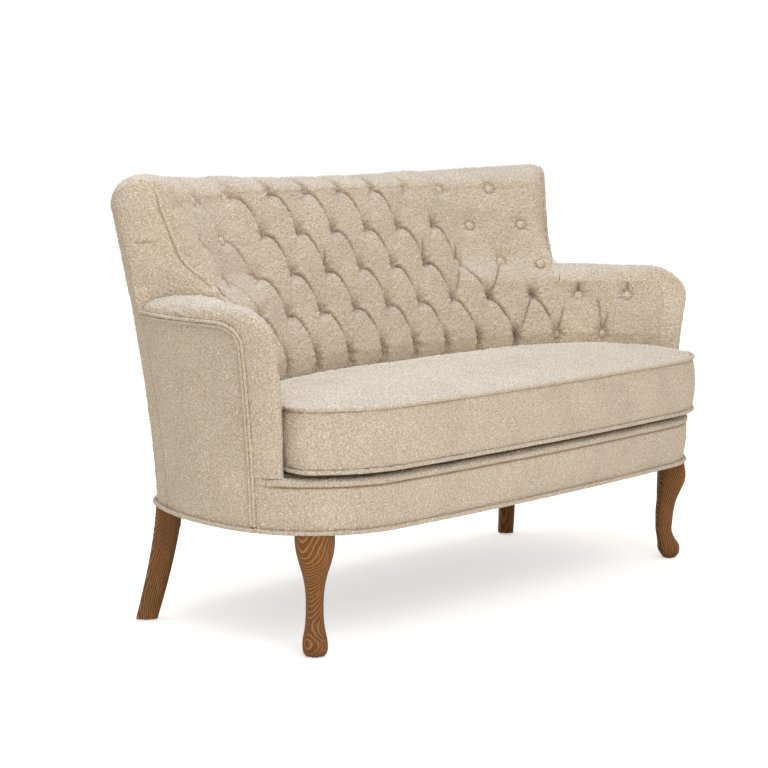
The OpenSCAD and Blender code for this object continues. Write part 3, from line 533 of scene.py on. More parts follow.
def tube(name: str, rings: np.ndarray) -> Object:
    """Capped tube through rings of equally many points.

    Args:
        name: Name of the piece.
        rings: Rings of points.

    Returns:
        The new object.
    """
    n, m = rings.shape[:2]
    caps = [list(range(m)), [(n - 1) * m + i for i in range(m - 1, -1, -1)]]
    obj = mesh_object(name, rings, grid_faces(n, m, closed=True) + caps)
    point_value(obj, "shown", np.ones(n * m))
    return obj


def on_side(points: np.ndarray, side: int) -> np.ndarray:
    """Points of the right side moved to the side wanted, 1 for right and -1 for left."""
    return points * np.array([side, 1, 1])


def shrunk(path: np.ndarray, share: float, z: Value) -> np.ndarray:
    """A plan drawn in towards its middle, at a height.

    Args:
        path: Points of the plan.
        share: Share of the way to the middle.
        z: Heights.

    Returns:
        A ring of points.
    """
    mid_y = (path[:, 1].max() + path[:, 1].min()) / 2
    flat = path * [1 - 0.45 * share, 1 - share] + [0, mid_y * share]
    return np.column_stack([flat, np.broadcast_to(z, len(path))])


def coordinates(mesh: Mesh, name: str = "co") -> np.ndarray:
    """Points or normals of a mesh.

    Args:
        mesh: The mesh.
        name: Property that is read, co or normal.

    Returns:
        One row for each vertex.
    """
    flat = np.empty(len(mesh.vertices) * 3)
    mesh.vertices.foreach_get(name, flat)
    return flat.reshape(-1, 3)


def point_value(obj: Object, name: str, values: np.ndarray) -> None:
    """Stores a number for each of a mesh's first points; the others keep 0.

    Args:
        obj: The piece.
        name: Name of the attribute.
        values: The numbers.
    """
    full = np.zeros(len(obj.data.vertices), np.float32)
    full[:values.size] = values.ravel()
    obj.data.attributes.new(name, "FLOAT", "POINT").data.foreach_set("value", full)


def keep_shape(obj: Object) -> None:
    """Makes an object's modified shape its own mesh.

    Args:
        obj: The object.
    """
    graph = bpy.context.evaluated_depsgraph_get()
    mesh = bpy.data.meshes.new_from_object(obj.evaluated_get(graph), depsgraph=graph)
    obj.modifiers.clear()
    obj.data = mesh


def resampled(path: np.ndarray, step: float, closed: bool = False) -> np.ndarray:
    """Points at even steps along a path.

    Args:
        path: The path's points.
        step: Wanted distance between points.
        closed: Whether the path returns to its start.

    Returns:
        The new points, without a second first point where it is closed.
    """
    full = np.concatenate([path, path[:1]]) if closed else path
    far = np.concatenate([[0], np.cumsum(np.linalg.norm(np.diff(full, axis=0), axis=1))])
    count = max(3, round(far[-1] / step))
    at = np.linspace(0, far[-1], count + 1)[:-1] if closed else np.linspace(0, far[-1], count + 1)
    return np.stack([np.interp(at, far, full[:, k]) for k in range(full.shape[1])], -1)


def rounded(path: np.ndarray, times: int, closed: bool = True) -> np.ndarray:
    """Rounds a path's corners by repeated averaging of neighbours.

    Args:
        path: Evenly spaced points.
        times: How often.
        closed: Whether the path returns to its start.

    Returns:
        The rounded path.
    """
    out = path.copy()
    for _ in range(times):
        near = (np.roll(out, 1, 0) + 2 * out + np.roll(out, -1, 0)) / 4
        if not closed:
            near[0], near[-1] = out[0], out[-1]
        out = near
    return out


def nap(obj: Object, height: float = 0.9, cell: float = 4.6) -> Object:
    """Roughens a cover as looped yarn does.

    Args:
        obj: The piece.
        height: Height of the loops in millimetres.
        cell: Size of a loop in millimetres.

    Returns:
        The piece.
    """
    mesh = obj.data
    points, normals = coordinates(mesh), coordinates(mesh, "normal")
    level = np.clip(normals[:, 2], 0, 1)
    lift = noise(points / MM / cell, SEED, 32) + 0.6 * noise(points / MM / (cell * 0.55), SEED + 1, 32)
    lift = height * MM * lift * (1 + LEVEL_LIFT * level)
    mesh.vertices.foreach_set("co", (points + normals * lift[:, None]).ravel())
    mesh.update()
    shown = mesh.attributes.get("shown")
    if shown:
        share = np.empty(len(mesh.vertices), np.float32)
        shown.data.foreach_get("value", share)
        shown.data.foreach_set("value", share * (1 + LEVEL_NUBS * level.astype(np.float32)))
    return obj


def dress(obj: Object, material: Material, body: Body,
          nodes: tuple = ()) -> None:
    """Gives a finished piece its material, body and CAD nodes.

    Args:
        obj: The piece.
        material: Its material.
        body: Body that it moves with.
        nodes: CAD nodes that it stands for.
    """
    obj.data.materials.clear()
    obj.data.materials.append(material)
    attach(obj, body.value)
    if nodes:
        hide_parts(*nodes)
    LOG.info("%s: %d faces, on %s", obj.name, len(obj.data.polygons), body.value)


# Finishes
def add(tree: NodeTree, kind: str, inputs: dict | tuple = (), **settings) -> Node:
    """Adds a node, sets its properties and fills or links its inputs.

    Args:
        tree: The node tree.
        kind: The node's type.
        inputs: The inputs, by name or number or simply in their order. Each is a value, a node
            that gives its first output, or an output socket.
        **settings: Properties of the node.

    Returns:
        The new node.
    """
    new = tree.nodes.new(kind)
    for name, value in settings.items():
        setattr(new, name, value)
    for name, value in (inputs.items() if isinstance(inputs, dict) else enumerate(inputs)):
        if isinstance(value, Node):
            value = value.outputs[0]
        if isinstance(value, NodeSocket):
            tree.links.new(value, new.inputs[name])
        else:
            new.inputs[name].default_value = value
    return new


def new_material(name: str) -> tuple[Material, NodeTree]:
    """An empty material and its node tree.

    Args:
        name: Name of the material.

    Returns:
        The material and its tree.
    """
    material = bpy.data.materials.new(name)
    material.use_nodes = True
    material.node_tree.nodes.clear()
    return material, material.node_tree


@dataclass(frozen=True)
class Finish:
    """What all finishes share. A map range lists its value, the range it has and the one it gets."""

    name: str

    def surface(self, tree: NodeTree, where: NodeSocket) -> dict:
        """Adds the look's nodes to a tree, in the coordinates where, and gives the shader's inputs."""
        raise NotImplementedError

    def build(self) -> Material:
        """Builds the material in Object coordinates.

        Returns:
            The material.
        """
        material, tree = new_material(self.name)
        where = add(tree, "ShaderNodeTexCoord").outputs["Object"]
        shader = add(tree, "ShaderNodeBsdfPrincipled", self.surface(tree, where))
        add(tree, "ShaderNodeOutputMaterial", (shader,))
        return material


@dataclass(frozen=True)
class BoucleFinish(Finish):
    """Boucle, woven of looped yarn: pale loops over a warmer ground, matt, with a soft rim of light."""

    name: str = "boucle"
    loop: str = "e0d4c2"
    ground: str = "c0af94"
    nub: str = "f6f0e6"
    crease_shade: str = "80603c"
    sheen: str = "fff8ee"
    loop_mm: float = 3.4
    nub_mm: float = 6.0
    nub_share: float = 0.14
    relief_mm: float = 2.0
    tip_scale: float = 520.0
    tip_contrast: float = 0.27
    level_saturation: float = 0.6

    def surface(self, tree: NodeTree, where: NodeSocket) -> dict:
        """Adds loops, nubs and worn patches, with painted shade, darker and browner, where the attribute fold
        is high.

        Args:
            tree: The material's tree.
            where: Object coordinates.

        Returns:
            Inputs of the surface shader.
        """
        # loops of the yarn, drawn a little coarser than real ones, so that they show
        per_loop, per_nub = 1 / (self.loop_mm * MM), 1 / (self.nub_mm * MM)
        loops = add(tree, "ShaderNodeTexVoronoi", {"Vector": where, "Scale": per_loop})
        strands = add(tree, "ShaderNodeTexNoise", {"Vector": where, "Scale": per_loop, "Detail": 3.0,
                                                   "Roughness": 0.7})
        height = add(tree, "ShaderNodeMath", (strands, loops), operation="SUBTRACT")
        tone = add(tree, "ShaderNodeMapRange", (height, -0.25, 0.35, 0.0, 1.0))
        body = add(tree, "ShaderNodeMix", {0: tone, 6: linear(self.ground), 7: linear(self.loop)},
                   data_type="RGBA")
        knots = add(tree, "ShaderNodeTexVoronoi", {"Vector": where, "Scale": per_nub})
        some = add(tree, "ShaderNodeSeparateColor", (knots.outputs["Color"],))
        chosen = add(tree, "ShaderNodeMath", (some, 1 - self.nub_share), operation="GREATER_THAN")
        spot = add(tree, "ShaderNodeMapRange", (knots, 0.2, 0.42, 0.7, 0.0))
        nubs = add(tree, "ShaderNodeMath", (chosen, spot), operation="MULTIPLY")
        flecked = add(tree, "ShaderNodeMix", {0: nubs, 6: body.outputs[2], 7: linear(self.nub)},
                      data_type="RGBA")
        patches = add(tree, "ShaderNodeTexNoise", {"Vector": where, "Scale": 11.0, "Detail": 3.0})
        worn = add(tree, "ShaderNodeMapRange", (patches, 0.3, 0.7, 0.94, 1.05))
        # painted light: level faces are made paler and more speckled, as where light from above catches the
        # tips of the loops
        normal = add(tree, "ShaderNodeNewGeometry").outputs["Normal"]
        slope = add(tree, "ShaderNodeSeparateXYZ", (normal,))
        level = add(tree, "ShaderNodeMapRange", (slope.outputs["Z"], 0.35, 0.9))
        tips = add(tree, "ShaderNodeTexNoise", {"Vector": where, "Scale": self.tip_scale, "Detail": 2.0,
                                                "Roughness": 0.8})
        spread = add(tree, "ShaderNodeMapRange", (tips, 0.36, 0.62, -self.tip_contrast, self.tip_contrast))
        lit = add(tree, "ShaderNodeMath", (spread, level, worn), operation="MULTIPLY_ADD")
        paler = add(tree, "ShaderNodeMapRange", (level, 0.0, 1.0, 1.0, self.level_saturation))
        toned = add(tree, "ShaderNodeHueSaturation", {"Saturation": paler, "Value": lit,
                                                      "Color": flecked.outputs[2]})
        # painted shade: the colour is drawn towards the brown crease shade where fold is high
        fold = add(tree, "ShaderNodeAttribute", attribute_name="fold").outputs["Fac"]
        colour = add(tree, "ShaderNodeMix", {0: fold, 6: toned, 7: linear(self.crease_shade)}, data_type="RGBA")
        raised = add(tree, "ShaderNodeMath", (height, nubs), operation="ADD")
        bump = add(tree, "ShaderNodeBump", {"Strength": 0.85, "Distance": self.relief_mm * MM,
                                            "Height": raised})
        return {"Base Color": colour.outputs[2], "Roughness": 0.95, "Normal": bump,
                "Specular IOR Level": 0.2, "Sheen Weight": 0.25, "Sheen Roughness": 0.5,
                "Sheen Tint": linear(self.sheen)}


@dataclass(frozen=True)
class OakFinish(Finish):
    """Brushed, limed oak: brown wood whose open grain holds pale wax, so arcs and lines show light."""

    name: str = "limed_oak"
    wood: str = "734415"
    shadow: str = "522e0d"
    lime: str = "c99f66"
    ring_mm: float = 3.9
    heart: tuple = (0.0, 0.0, 0.07)
    pore_scale: tuple = (420.0, 420.0, 26.0)

    def surface(self, tree: NodeTree, where: NodeSocket) -> dict:
        """Adds growth rings round a far heart and fine pores.

        Args:
            tree: The material's tree.
            where: Object coordinates.

        Returns:
            Inputs of the surface shader.
        """
        moved = add(tree, "ShaderNodeMapping", {"Vector": where, "Location": self.heart})
        drift = add(tree, "ShaderNodeTexNoise", {"Vector": moved, "Scale": 9.0, "Detail": 2.0})
        bend = add(tree, "ShaderNodeVectorMath", {0: drift.outputs["Color"], "Scale": 0.02},
                   operation="SCALE")
        path = add(tree, "ShaderNodeVectorMath", (moved, bend))
        rings = add(tree, "ShaderNodeTexWave", {
            "Vector": path, "Scale": WAVE_MM / self.ring_mm, "Distortion": 0.8, "Detail": 2.0,
            "Detail Scale": 1.5}, wave_type="RINGS", rings_direction="SPHERICAL").outputs["Fac"]
        line = add(tree, "ShaderNodeMapRange", (rings, 0.7, 0.98, 0.0, 0.38))
        grain = add(tree, "ShaderNodeMapping", {"Vector": where, "Scale": self.pore_scale})
        pores = add(tree, "ShaderNodeTexNoise", {"Vector": grain, "Scale": 1.0, "Detail": 3.0})
        flecks = add(tree, "ShaderNodeMapRange", (pores, 0.55, 0.75, 0.0, 0.36))
        limed = add(tree, "ShaderNodeMath", (line, flecks), operation="MAXIMUM")
        dark = add(tree, "ShaderNodeMapRange", (drift, 0.35, 0.65, 0.0, 0.6))
        wood = add(tree, "ShaderNodeMix", {0: dark, 6: linear(self.wood), 7: linear(self.shadow)},
                   data_type="RGBA")
        colour = add(tree, "ShaderNodeMix", {0: limed, 6: wood.outputs[2], 7: linear(self.lime)},
                     data_type="RGBA")
        bump = add(tree, "ShaderNodeBump", {"Strength": 0.35, "Distance": 0.4 * MM, "Height": limed})
        return {"Base Color": colour.outputs[2], "Roughness": 0.55, "Normal": bump,
                "Specular IOR Level": 0.28}


@dataclass(frozen=True)
class GrainFinish(Finish):
    """Bare planed wood or a sanded ply edge: long soft streaks along one direction."""

    light: str
    dark: str
    stretch: tuple
    rough: float = 0.65

    def surface(self, tree: NodeTree, where: NodeSocket) -> dict:
        """Adds one stretched noise.

        Args:
            tree: The material's tree.
            where: Object coordinates.

        Returns:
            Inputs of the surface shader.
        """
        along = add(tree, "ShaderNodeMapping", {"Vector": where, "Scale": self.stretch})
        streaks = add(tree, "ShaderNodeTexNoise", {"Vector": along, "Scale": 1.0, "Detail": 4.0})
        colour = add(tree, "ShaderNodeMix", {0: streaks, 6: linear(self.dark), 7: linear(self.light)},
                     data_type="RGBA")
        bump = add(tree, "ShaderNodeBump", {"Strength": 0.2, "Distance": 0.3 * MM, "Height": streaks})
        return {"Base Color": colour.outputs[2], "Roughness": self.rough, "Normal": bump}


@dataclass(frozen=True)
class SteelFinish(Finish):
    """Zinc-plated steel: pale grey metal with a faint brushed unevenness."""

    name: str = "zinc_plated_steel"
    colour: str = "b9bcc0"

    def surface(self, tree: NodeTree, where: NodeSocket) -> dict:
        """Adds uneven roughness.

        Args:
            tree: The material's tree.
            where: Object coordinates.

        Returns:
            Inputs of the surface shader.
        """
        cloud = add(tree, "ShaderNodeTexNoise", {"Vector": where, "Scale": 220.0, "Detail": 3.0})
        rough = add(tree, "ShaderNodeMapRange", (cloud, 0.0, 1.0, 0.28, 0.48))
        return {"Base Color": linear(self.colour), "Metallic": 1.0, "Roughness": rough}


@dataclass(frozen=True)
class ClothFinish(Finish):
    """Plain cloth or felt: crossed threads, or loose fibres where the threads are coarse."""

    light: str
    dark: str
    thread_mm: float = 2.0
    relief_mm: float = 0.3

    def surface(self, tree: NodeTree, where: NodeSocket) -> dict:
        """Adds two crossed waves and a fibre noise.

        Args:
            tree: The material's tree.
            where: Object coordinates.

        Returns:
            Inputs of the surface shader.
        """
        threads = {"Vector": where, "Scale": WAVE_MM / self.thread_mm, "Distortion": 0.6}
        warp, weft = (add(tree, "ShaderNodeTexWave", threads, bands_direction=way).outputs["Fac"]
                      for way in "XY")
        weave = add(tree, "ShaderNodeMath", (warp, weft), operation="MULTIPLY")
        fibres = add(tree, "ShaderNodeTexNoise", {"Vector": where, "Scale": 500.0, "Detail": 3.0})
        both = add(tree, "ShaderNodeMath", (weave, fibres), operation="ADD")
        colour = add(tree, "ShaderNodeMix", {0: fibres, 6: linear(self.dark), 7: linear(self.light)},
                     data_type="RGBA")
        bump = add(tree, "ShaderNodeBump", {"Strength": 0.5, "Distance": self.relief_mm * MM, "Height": both})
        return {"Base Color": colour.outputs[2], "Roughness": 0.9, "Normal": bump}


# Buttoned upholstery
@dataclass(frozen=True)
class Tufting:
    """Relief of the deep buttoning.

    Between buttons the cover is folded: crisp folds run down to the right, softer ones down to the
    left, and both sink to the buttons. Only the wings and arms are shallower. Places are told as u,
    in button columns from the middle, and v, in button rows from the lowest.
    """

    plan: SetteePlan
    rows: int = 5
    arm_u: float = 5
    wing_u: float = 2.7
    bow: float = 0.17
    # how wide a fold's bottom is and how steeply it rises
    crisp_edge: tuple = (0.1, 4.6)
    soft_edge: tuple = (0.32, 4.6)
    crisp_mid: float = 0.89
    soft_mid: float = 0.97
    wing_relief: float = 0.32
    arm_relief: float = 0.45
    fold_mm: float = 89
    groove: float = 3.4
    groove_w: float = 2.0
    lip: float = 1.6
    lip_at: float = 5.5
    lip_w: float = 4.5
    smooth_end: float = 38
    pleat_depth: float = 2.6
    pleat_w: float = 2.4
    dimple_r: float = 15
    pucker: float = 1.5
    pucker_r: float = 15
    pucker_w: float = 9
    ring_r: float = 10.4
    fold_shade: float = 0.8
    painted_inside_shade: float = 0.11
    end_len: float = 40
    end_fall: float = 44
    # column, row, length up the lean (down where negative) and slant
    extra_folds: tuple = ((-1, 2, 34, 0.06), (2, 2, 42, 0.06), (3, 2, 34, 0.06), (3, 2, -60, 0.55),
                          (4, 2, -66, 0.6), (4.5, 1, -66, 0.5), (5.5, 1, 70, 0.0), (6.5, 1, 70, 0.05),
                          (6, 0, 66, -0.14), (6, 0, 34, 0.3), (5, 0, 48, 0.34))

    def buttons(self) -> list:
        """All buttons: the back's rows, the arms' two and one where each wing meets its arm.

        Returns:
            Column and row of each.
        """
        back = [(k + (row % 2) / 2, row) for row in range(self.rows) for k in range(-5, 6)
                if abs(k + (row % 2) / 2) < 4.75]
        arms = [(side * u, row) for side in SIDES for u, row in ((5, 0), (6, 0), (5.5, 1), (6.5, 1))]
        return back + arms + [(side * 4.76, 1.86) for side in SIDES]

    def away(self, u: Value, t: Value, button: tuple) -> tuple:
        """Distances along the line and up the lean from a button's column and row."""
        return (u - button[0]) * self.plan.button_gap, t - button[1] * self.plan.row_gap

    @staticmethod
    def _edge(share: Value, soft: float, steep: float) -> Value:
        """Profile across one fold: 0 at its bottom, 1 halfway to the next.

        Args:
            share: Share of the way to the next fold.
            soft: How wide its bottom is.
            steep: How fast it rises beside the fold.

        Returns:
            The height as a share.
        """
        x = 2 * np.minimum(share, 1 - share)
        b = 1 - (1 - x) ** steep
        return (np.sqrt(b * b + soft * soft) - soft) / (math.sqrt(1 + soft * soft) - soft)

    def crisp(self, u0: Value, v0: Value) -> Value:
        """How sharp the fold is that runs down to the right from the button at u0 and v0."""
        last = np.select([v0 > 3.5, v0 > 2.5, v0 > 1.5], [1.6, 2.6, 3.1], 4.6)
        return (1 - ease((u0 - last) / 0.4)) * mix(1, 0.5, ease((-u0 - 3.4) / 0.6))

    def dimples(self, u: Value, t: Value) -> Value:
        """How near each place lies to a button of the wings or arms.

        Args:
            u: Columns.
            t: Distances up the lean.

        Returns:
            From 0 to 1 at the button.
        """
        dip = 0 * u
        for button in self.buttons():
            if abs(button[0]) > self.wing_u:
                dip = np.maximum(dip, bell(np.hypot(*self.away(u, t, button)), self.dimple_r))
        return dip

    def pleats(self, u: Value, t: Value, out: Value, shade: Value) -> tuple:
        """Adds short folds over some buttons, and pleats down from others to the left.

        Args:
            u: Columns.
            t: Distances up the lean.
            out: Extra height so far.
            shade: Shade so far.

        Returns:
            Extra height and shade.
        """
        for *button, long, slant in self.extra_folds:
            dx, dy = self.away(u, t, button)
            ahead = math.copysign(1, long) * dy
            on = bell(dx - slant * dy, self.pleat_w) * ease((ahead - 5) / 8) * (
                1 - ease((ahead - abs(long)) / 14))
            # painted shade along each pleat
            out, shade = out - self.pleat_depth * on, np.maximum(shade, 0.85 * on)
        return out, shade

    def puckers(self, u: Value, t: Value, out: Value, shade: Value) -> tuple:
        """Adds the gathered cover round each button, in rays of a random number.

        Args:
            u: Columns.
            t: Distances up the lean.
            out: Extra height so far.
            shade: Shade so far.

        Returns:
            Extra height and shade.
        """
        rng = np.random.default_rng(SEED)
        for button in self.buttons():
            dx, dy = self.away(u, t, button)
            far, angle = np.hypot(dx, dy), np.arctan2(dy, dx)
            rays = np.cos(int(rng.integers(7, 11)) * angle + rng.uniform(0, 6.3))
            calm = 0.45 if abs(button[0]) > self.wing_u and button[1] > 1.5 else 1.0
            out = out + calm * self.pucker * bell(far - self.pucker_r, self.pucker_w) * rays
            # painted shade in each button's pit, or a thin dark ring of painted shade round the raised
            # buttons high on the wings
            deep, ring = bell(far, 11) * (0.7 + 0.3 * rays), 0.65 * bell(far - self.ring_r, 1.7)
            shade = np.maximum(shade, deep if calm == 1 else ring)
        return out, shade

    def relief(self, s: Value, t: Value) -> tuple:
        """Height of the cover over the pits.

        Args:
            s: Distances along the inside line.
            t: Distances up the lean from the lowest buttons.

        Returns:
            Share of the full depth, extra height in millimetres and share of the painted shade of a fold.
        """
        plan = self.plan
        u, v = plan.column(s) / 4, t / plan.row_gap
        top = np.where(np.abs(u) > self.arm_u, 1.0, self.rows - 1)
        above, below = ease((v - top) * 1.6), ease(-v * 1.6)
        wing = ease((np.abs(u) - 2.5) / 0.8) * ease((v - 1.3) / 0.9)
        arm = ease((np.abs(u) - 4.7) / 0.5)
        flat = np.maximum(wing, arm)
        # p counts the crisp folds and q the soft ones
        half_row = np.clip(v, 0, top) / 2
        p, q = u + half_row, u - half_row
        along = q - np.floor(q)
        # the folds are bowed over the middle of the back and straight on its wings
        bent = p - self.bow * (1 - 0.8 * ease((u - 2.2) / 1.2)) * np.sin(np.pi * along ** 0.75)
        ex, ey = self._edge(bent - np.floor(bent), *self.crisp_edge), self._edge(along, *self.soft_edge)
        share = ex * ey + (1 - ex) * ey * self.crisp_mid + ex * (1 - ey) * self.soft_mid
        # above the top row and below the lowest one each button leaves one upright fold
        half = top % 2 / 2
        high = 1 - 0.7 * bell((u - np.round(u - half) - half) * 4, 0.4) * (1 - 0.8 * wing)
        low = 1 - 0.4 * bell((u - np.round(u)) * 4, 0.6)
        share = mix(mix(share, high, above), low * mix(1, 0.3, ease(-v / 1.7)), below)
        share = mix(share, share * self.wing_relief, wing * (1 - arm))
        share = mix(share, 1 - self.arm_relief * (1 - share), arm * (1 - wing))
        share = share * (1 - 0.5 * self.dimples(u, t) * flat)
        # the wings' ends are smooth down to the arms
        end = ease((np.abs(s) - plan.wing_s + self.smooth_end) / 34) * (np.abs(s) < plan.wing_s + 1)
        share = mix(share, 0.5, end * ease((t - 120) / 40))
        # the crisp folds' sharp bottoms, with a lip of cover lying over them
        window = ease((along - 0.04) / 0.12) * (1 - ease((along - 0.56) / 0.3)) * self.crisp(
            (np.round(bent) + np.floor(q)) / 2, np.round(bent) - np.floor(q))
        window = window * (1 - above) * (1 - below) * mix(1, 0.7, flat)
        off = (bent - np.round(bent)) * self.fold_mm
        out = window * (self.lip * bell(off - self.lip_at, self.lip_w)
                        - self.groove * bell(off, self.groove_w))
        # painted shade along the bottoms of the crisp folds
        out, shade = self.pleats(u, t, out, window * bell(off, self.groove_w * 1.1))
        out, shade = self.puckers(u, t, out, shade)
        out = out + flat_noise(s / 41, t / 33, SEED) + 0.6 * flat_noise(s / 17, t / 14, SEED + 1)
        # painted shade: the whole inside of the back is a little darkened, as if the cover lay in its own
        # shade
        return share, out, np.clip(np.maximum(shade * self.fold_shade, 0) + self.painted_inside_shade * (1 - shade), 0, 1)

    def normal_up(self, t: Value) -> Value:
        """Direction of the face's normal above the level, eased round the lowest buttons."""
        return self.plan.lean * ease((t + 22) / 44)

    def fall(self, s: Value, t: Value) -> Value:
        """How far the back's face has turned away towards its wing panels.

        Args:
            s: Distances along the inside line.
            t: Distances up the lean.

        Returns:
            Distances out.
        """
        plan = self.plan
        f = np.clip((np.abs(s) - plan.wing_s + self.end_len) / self.end_len, 0, 1)
        f = f * (np.abs(s) <= plan.wing_s)
        return self.end_fall * (1 - np.sqrt(1 - 0.98 * f ** 2)) * ease((t - 150) / 100)

    def place(self, s: Value, t: Value, share: Value, out: Value) -> np.ndarray:
        """Points of the buttoned face.

        Args:
            s: Distances along the inside line.
            t: Distances up the lean.
            share: Heights as shares of the full depth.
            out: Extra height in millimetres.

        Returns:
            Points in the last axis.
        """
        plan = self.plan
        up, lean = np.radians(self.normal_up(t)), math.radians(plan.lean)
        n = mix(plan.pit_n(s), plan.crest_n(s), share) - out + self.fall(s, t)
        reach = np.maximum(0, t) * math.sin(lean) + n * np.cos(up)
        z = plan.row_z + np.where(t > 0, t * math.cos(lean), t) - n * np.sin(up)
        return plan.inside(s, reach, z)


@dataclass
class ButtonedBack:
    """Inside back and wings with their top roll, one deep-buttoned pad."""

    tufting: Tufting
    step: float = 2.1
    roll_rows: int = 44
    notch: float = 7
    corner_drop: float = 13
    corner_len: float = 26
    rear_heights: tuple = (760, 720, 680, 640, 600)

    def top_of(self, s: Value) -> Value:
        """Height of the top edge, dropping where the pad's corner rounds off.

        Args:
            s: Distances along the inside line.

        Returns:
            Heights.
        """
        plan = self.tufting.plan
        f = np.clip((np.abs(s) - plan.wing_s + self.corner_len) / self.corner_len, 0, 1)
        return plan.top_z(s) - self.corner_drop * (1 - np.sqrt(1 - 0.97 * f ** 2))

    def roll(self, s: Value, k: Value, share: Value, out: Value) -> np.ndarray:
        """Points of the roll over the top.

        Args:
            s: Distances along the inside line.
            k: Angles from its front edge at 0 to the outside seam at 180.
            share: Heights of the cover there as shares.
            out: Extra height in millimetres.

        Returns:
            Points in the last axis.
        """
        plan = self.tufting.plan
        a, w = math.radians(plan.lean), np.radians(k)
        t = plan.rows_t
        n = mix(plan.pit_n(s), plan.crest_n(s), share) - out + self.tufting.fall(s, t)
        n0, z0 = t * math.sin(a) + n * math.cos(a), plan.row_z + t * math.cos(a) - n * math.sin(a)
        z = mix(z0, plan.roll_edge_z + plan.gap, k / 180)
        far = plan.meet(s, plan.roll_edge_z)[0]
        top = self.top_of(s) + out * np.sin(w)
        return plan.inside(s, mix(n0, far, (1 - np.cos(w)) / 2), z + (top - z) * np.sin(w))

    def build(self) -> Object:
        """Builds the pad.

        Returns:
            The finished object, with the painted shade of its folds stored as fold.
        """
        plan, tufts = self.tufting.plan, self.tufting
        s = np.linspace(-plan.wing_s, plan.wing_s, round(2 * plan.wing_s / self.step))
        t = np.linspace(plan.low_t, plan.rows_t, round((plan.rows_t - plan.low_t) / self.step))
        gs, gt = np.meshgrid(s, t)
        share, out, shade = tufts.relief(gs, gt)
        face = tufts.place(gs, gt, share, out)
        rs, rk = np.meshgrid(s, np.linspace(0, 180, self.roll_rows)[1:])
        rshare, rout, rshade = tufts.relief(rs, plan.rows_t + rk / 180 * plan.row_gap)
        rolled = self.roll(rs, rk, rshare, rout * (1 - ease((rk - 100) / 70)))
        rolled[..., 2] -= self.notch * (1 - rshare) * np.sin(np.radians(rk)) * (1 - ease((rk - 95) / 60))
        low, lean = plan.seat_z + plan.gap, math.cos(math.radians(plan.lean))
        rear = [plan.inside(s, plan.rear_n(s) + plan.lean_at(z) + tufts.fall(s, (z - plan.row_z) / lean),
                            np.full_like(s, z))
                for z in (plan.roll_edge_z, *self.rear_heights, plan.row_z, low + 10, low)]
        return shell("buttoned_back", np.concatenate([face, rolled]), np.stack(rear),
                     np.concatenate([shade, rshade * (1 - ease((rk - 60) / 70))]))


@dataclass
class ButtonedArm:
    """Inside of one arm, buttoned more shallowly, up to the seam under its band."""

    tufting: Tufting
    side: int
    step: float = 2.7
    over_end: float = 1.5
    over_top: float = 3
    lap: float = 0.7
    rear_shares: tuple = (0.97, 0.6, 0.3, 0)

    def build(self) -> Object:
        """Builds the pad.

        Returns:
            The finished object, with the painted shade of its folds stored as fold.
        """
        plan, tufts = self.tufting.plan, self.tufting
        s = np.linspace(plan.wing_s - 1, plan.pad_end_s + self.over_end,
                        round((plan.pad_end_s - plan.wing_s) / self.step))
        rows = round((plan.arm_top_z - plan.seat_z) / self.step)
        f = np.linspace(0, 1, rows)[:, None]
        under_top = (1 - f) * rows * self.step
        top = plan.seam_t(np.minimum(s, plan.pad_end_s)) + self.over_top
        gt = mix(plan.low_t, top[None, :], f)
        gs = np.broadcast_to(s, gt.shape)
        reach = plan.seam_t(plan.arm_front_s)
        share, out, shade = tufts.relief(self.side * gs, np.where(gt > 0, gt * reach / top, gt))
        edge = ease(under_top / 20) * ease((plan.pad_end_s - gs) / 26)
        # it laps a little over the band, so that no gap shows
        lap = self.lap * (1 - ease(under_top / 8))
        front = tufts.place(gs, gt, mix(1, share, edge), out * edge + lap)
        high, low = plan.seam_z(np.minimum(s, plan.pad_end_s)), plan.seat_z + plan.gap
        levels = [mix(low, high, share) for share in self.rear_shares]
        rear = np.stack([plan.inside(s, plan.rear_n(s) + plan.lean_at(z), z) for z in levels])
        return shell(f"buttoned_arm_{SIDES[self.side]}", on_side(front, self.side),
                     on_side(rear, self.side), shade * ease(under_top / 8))


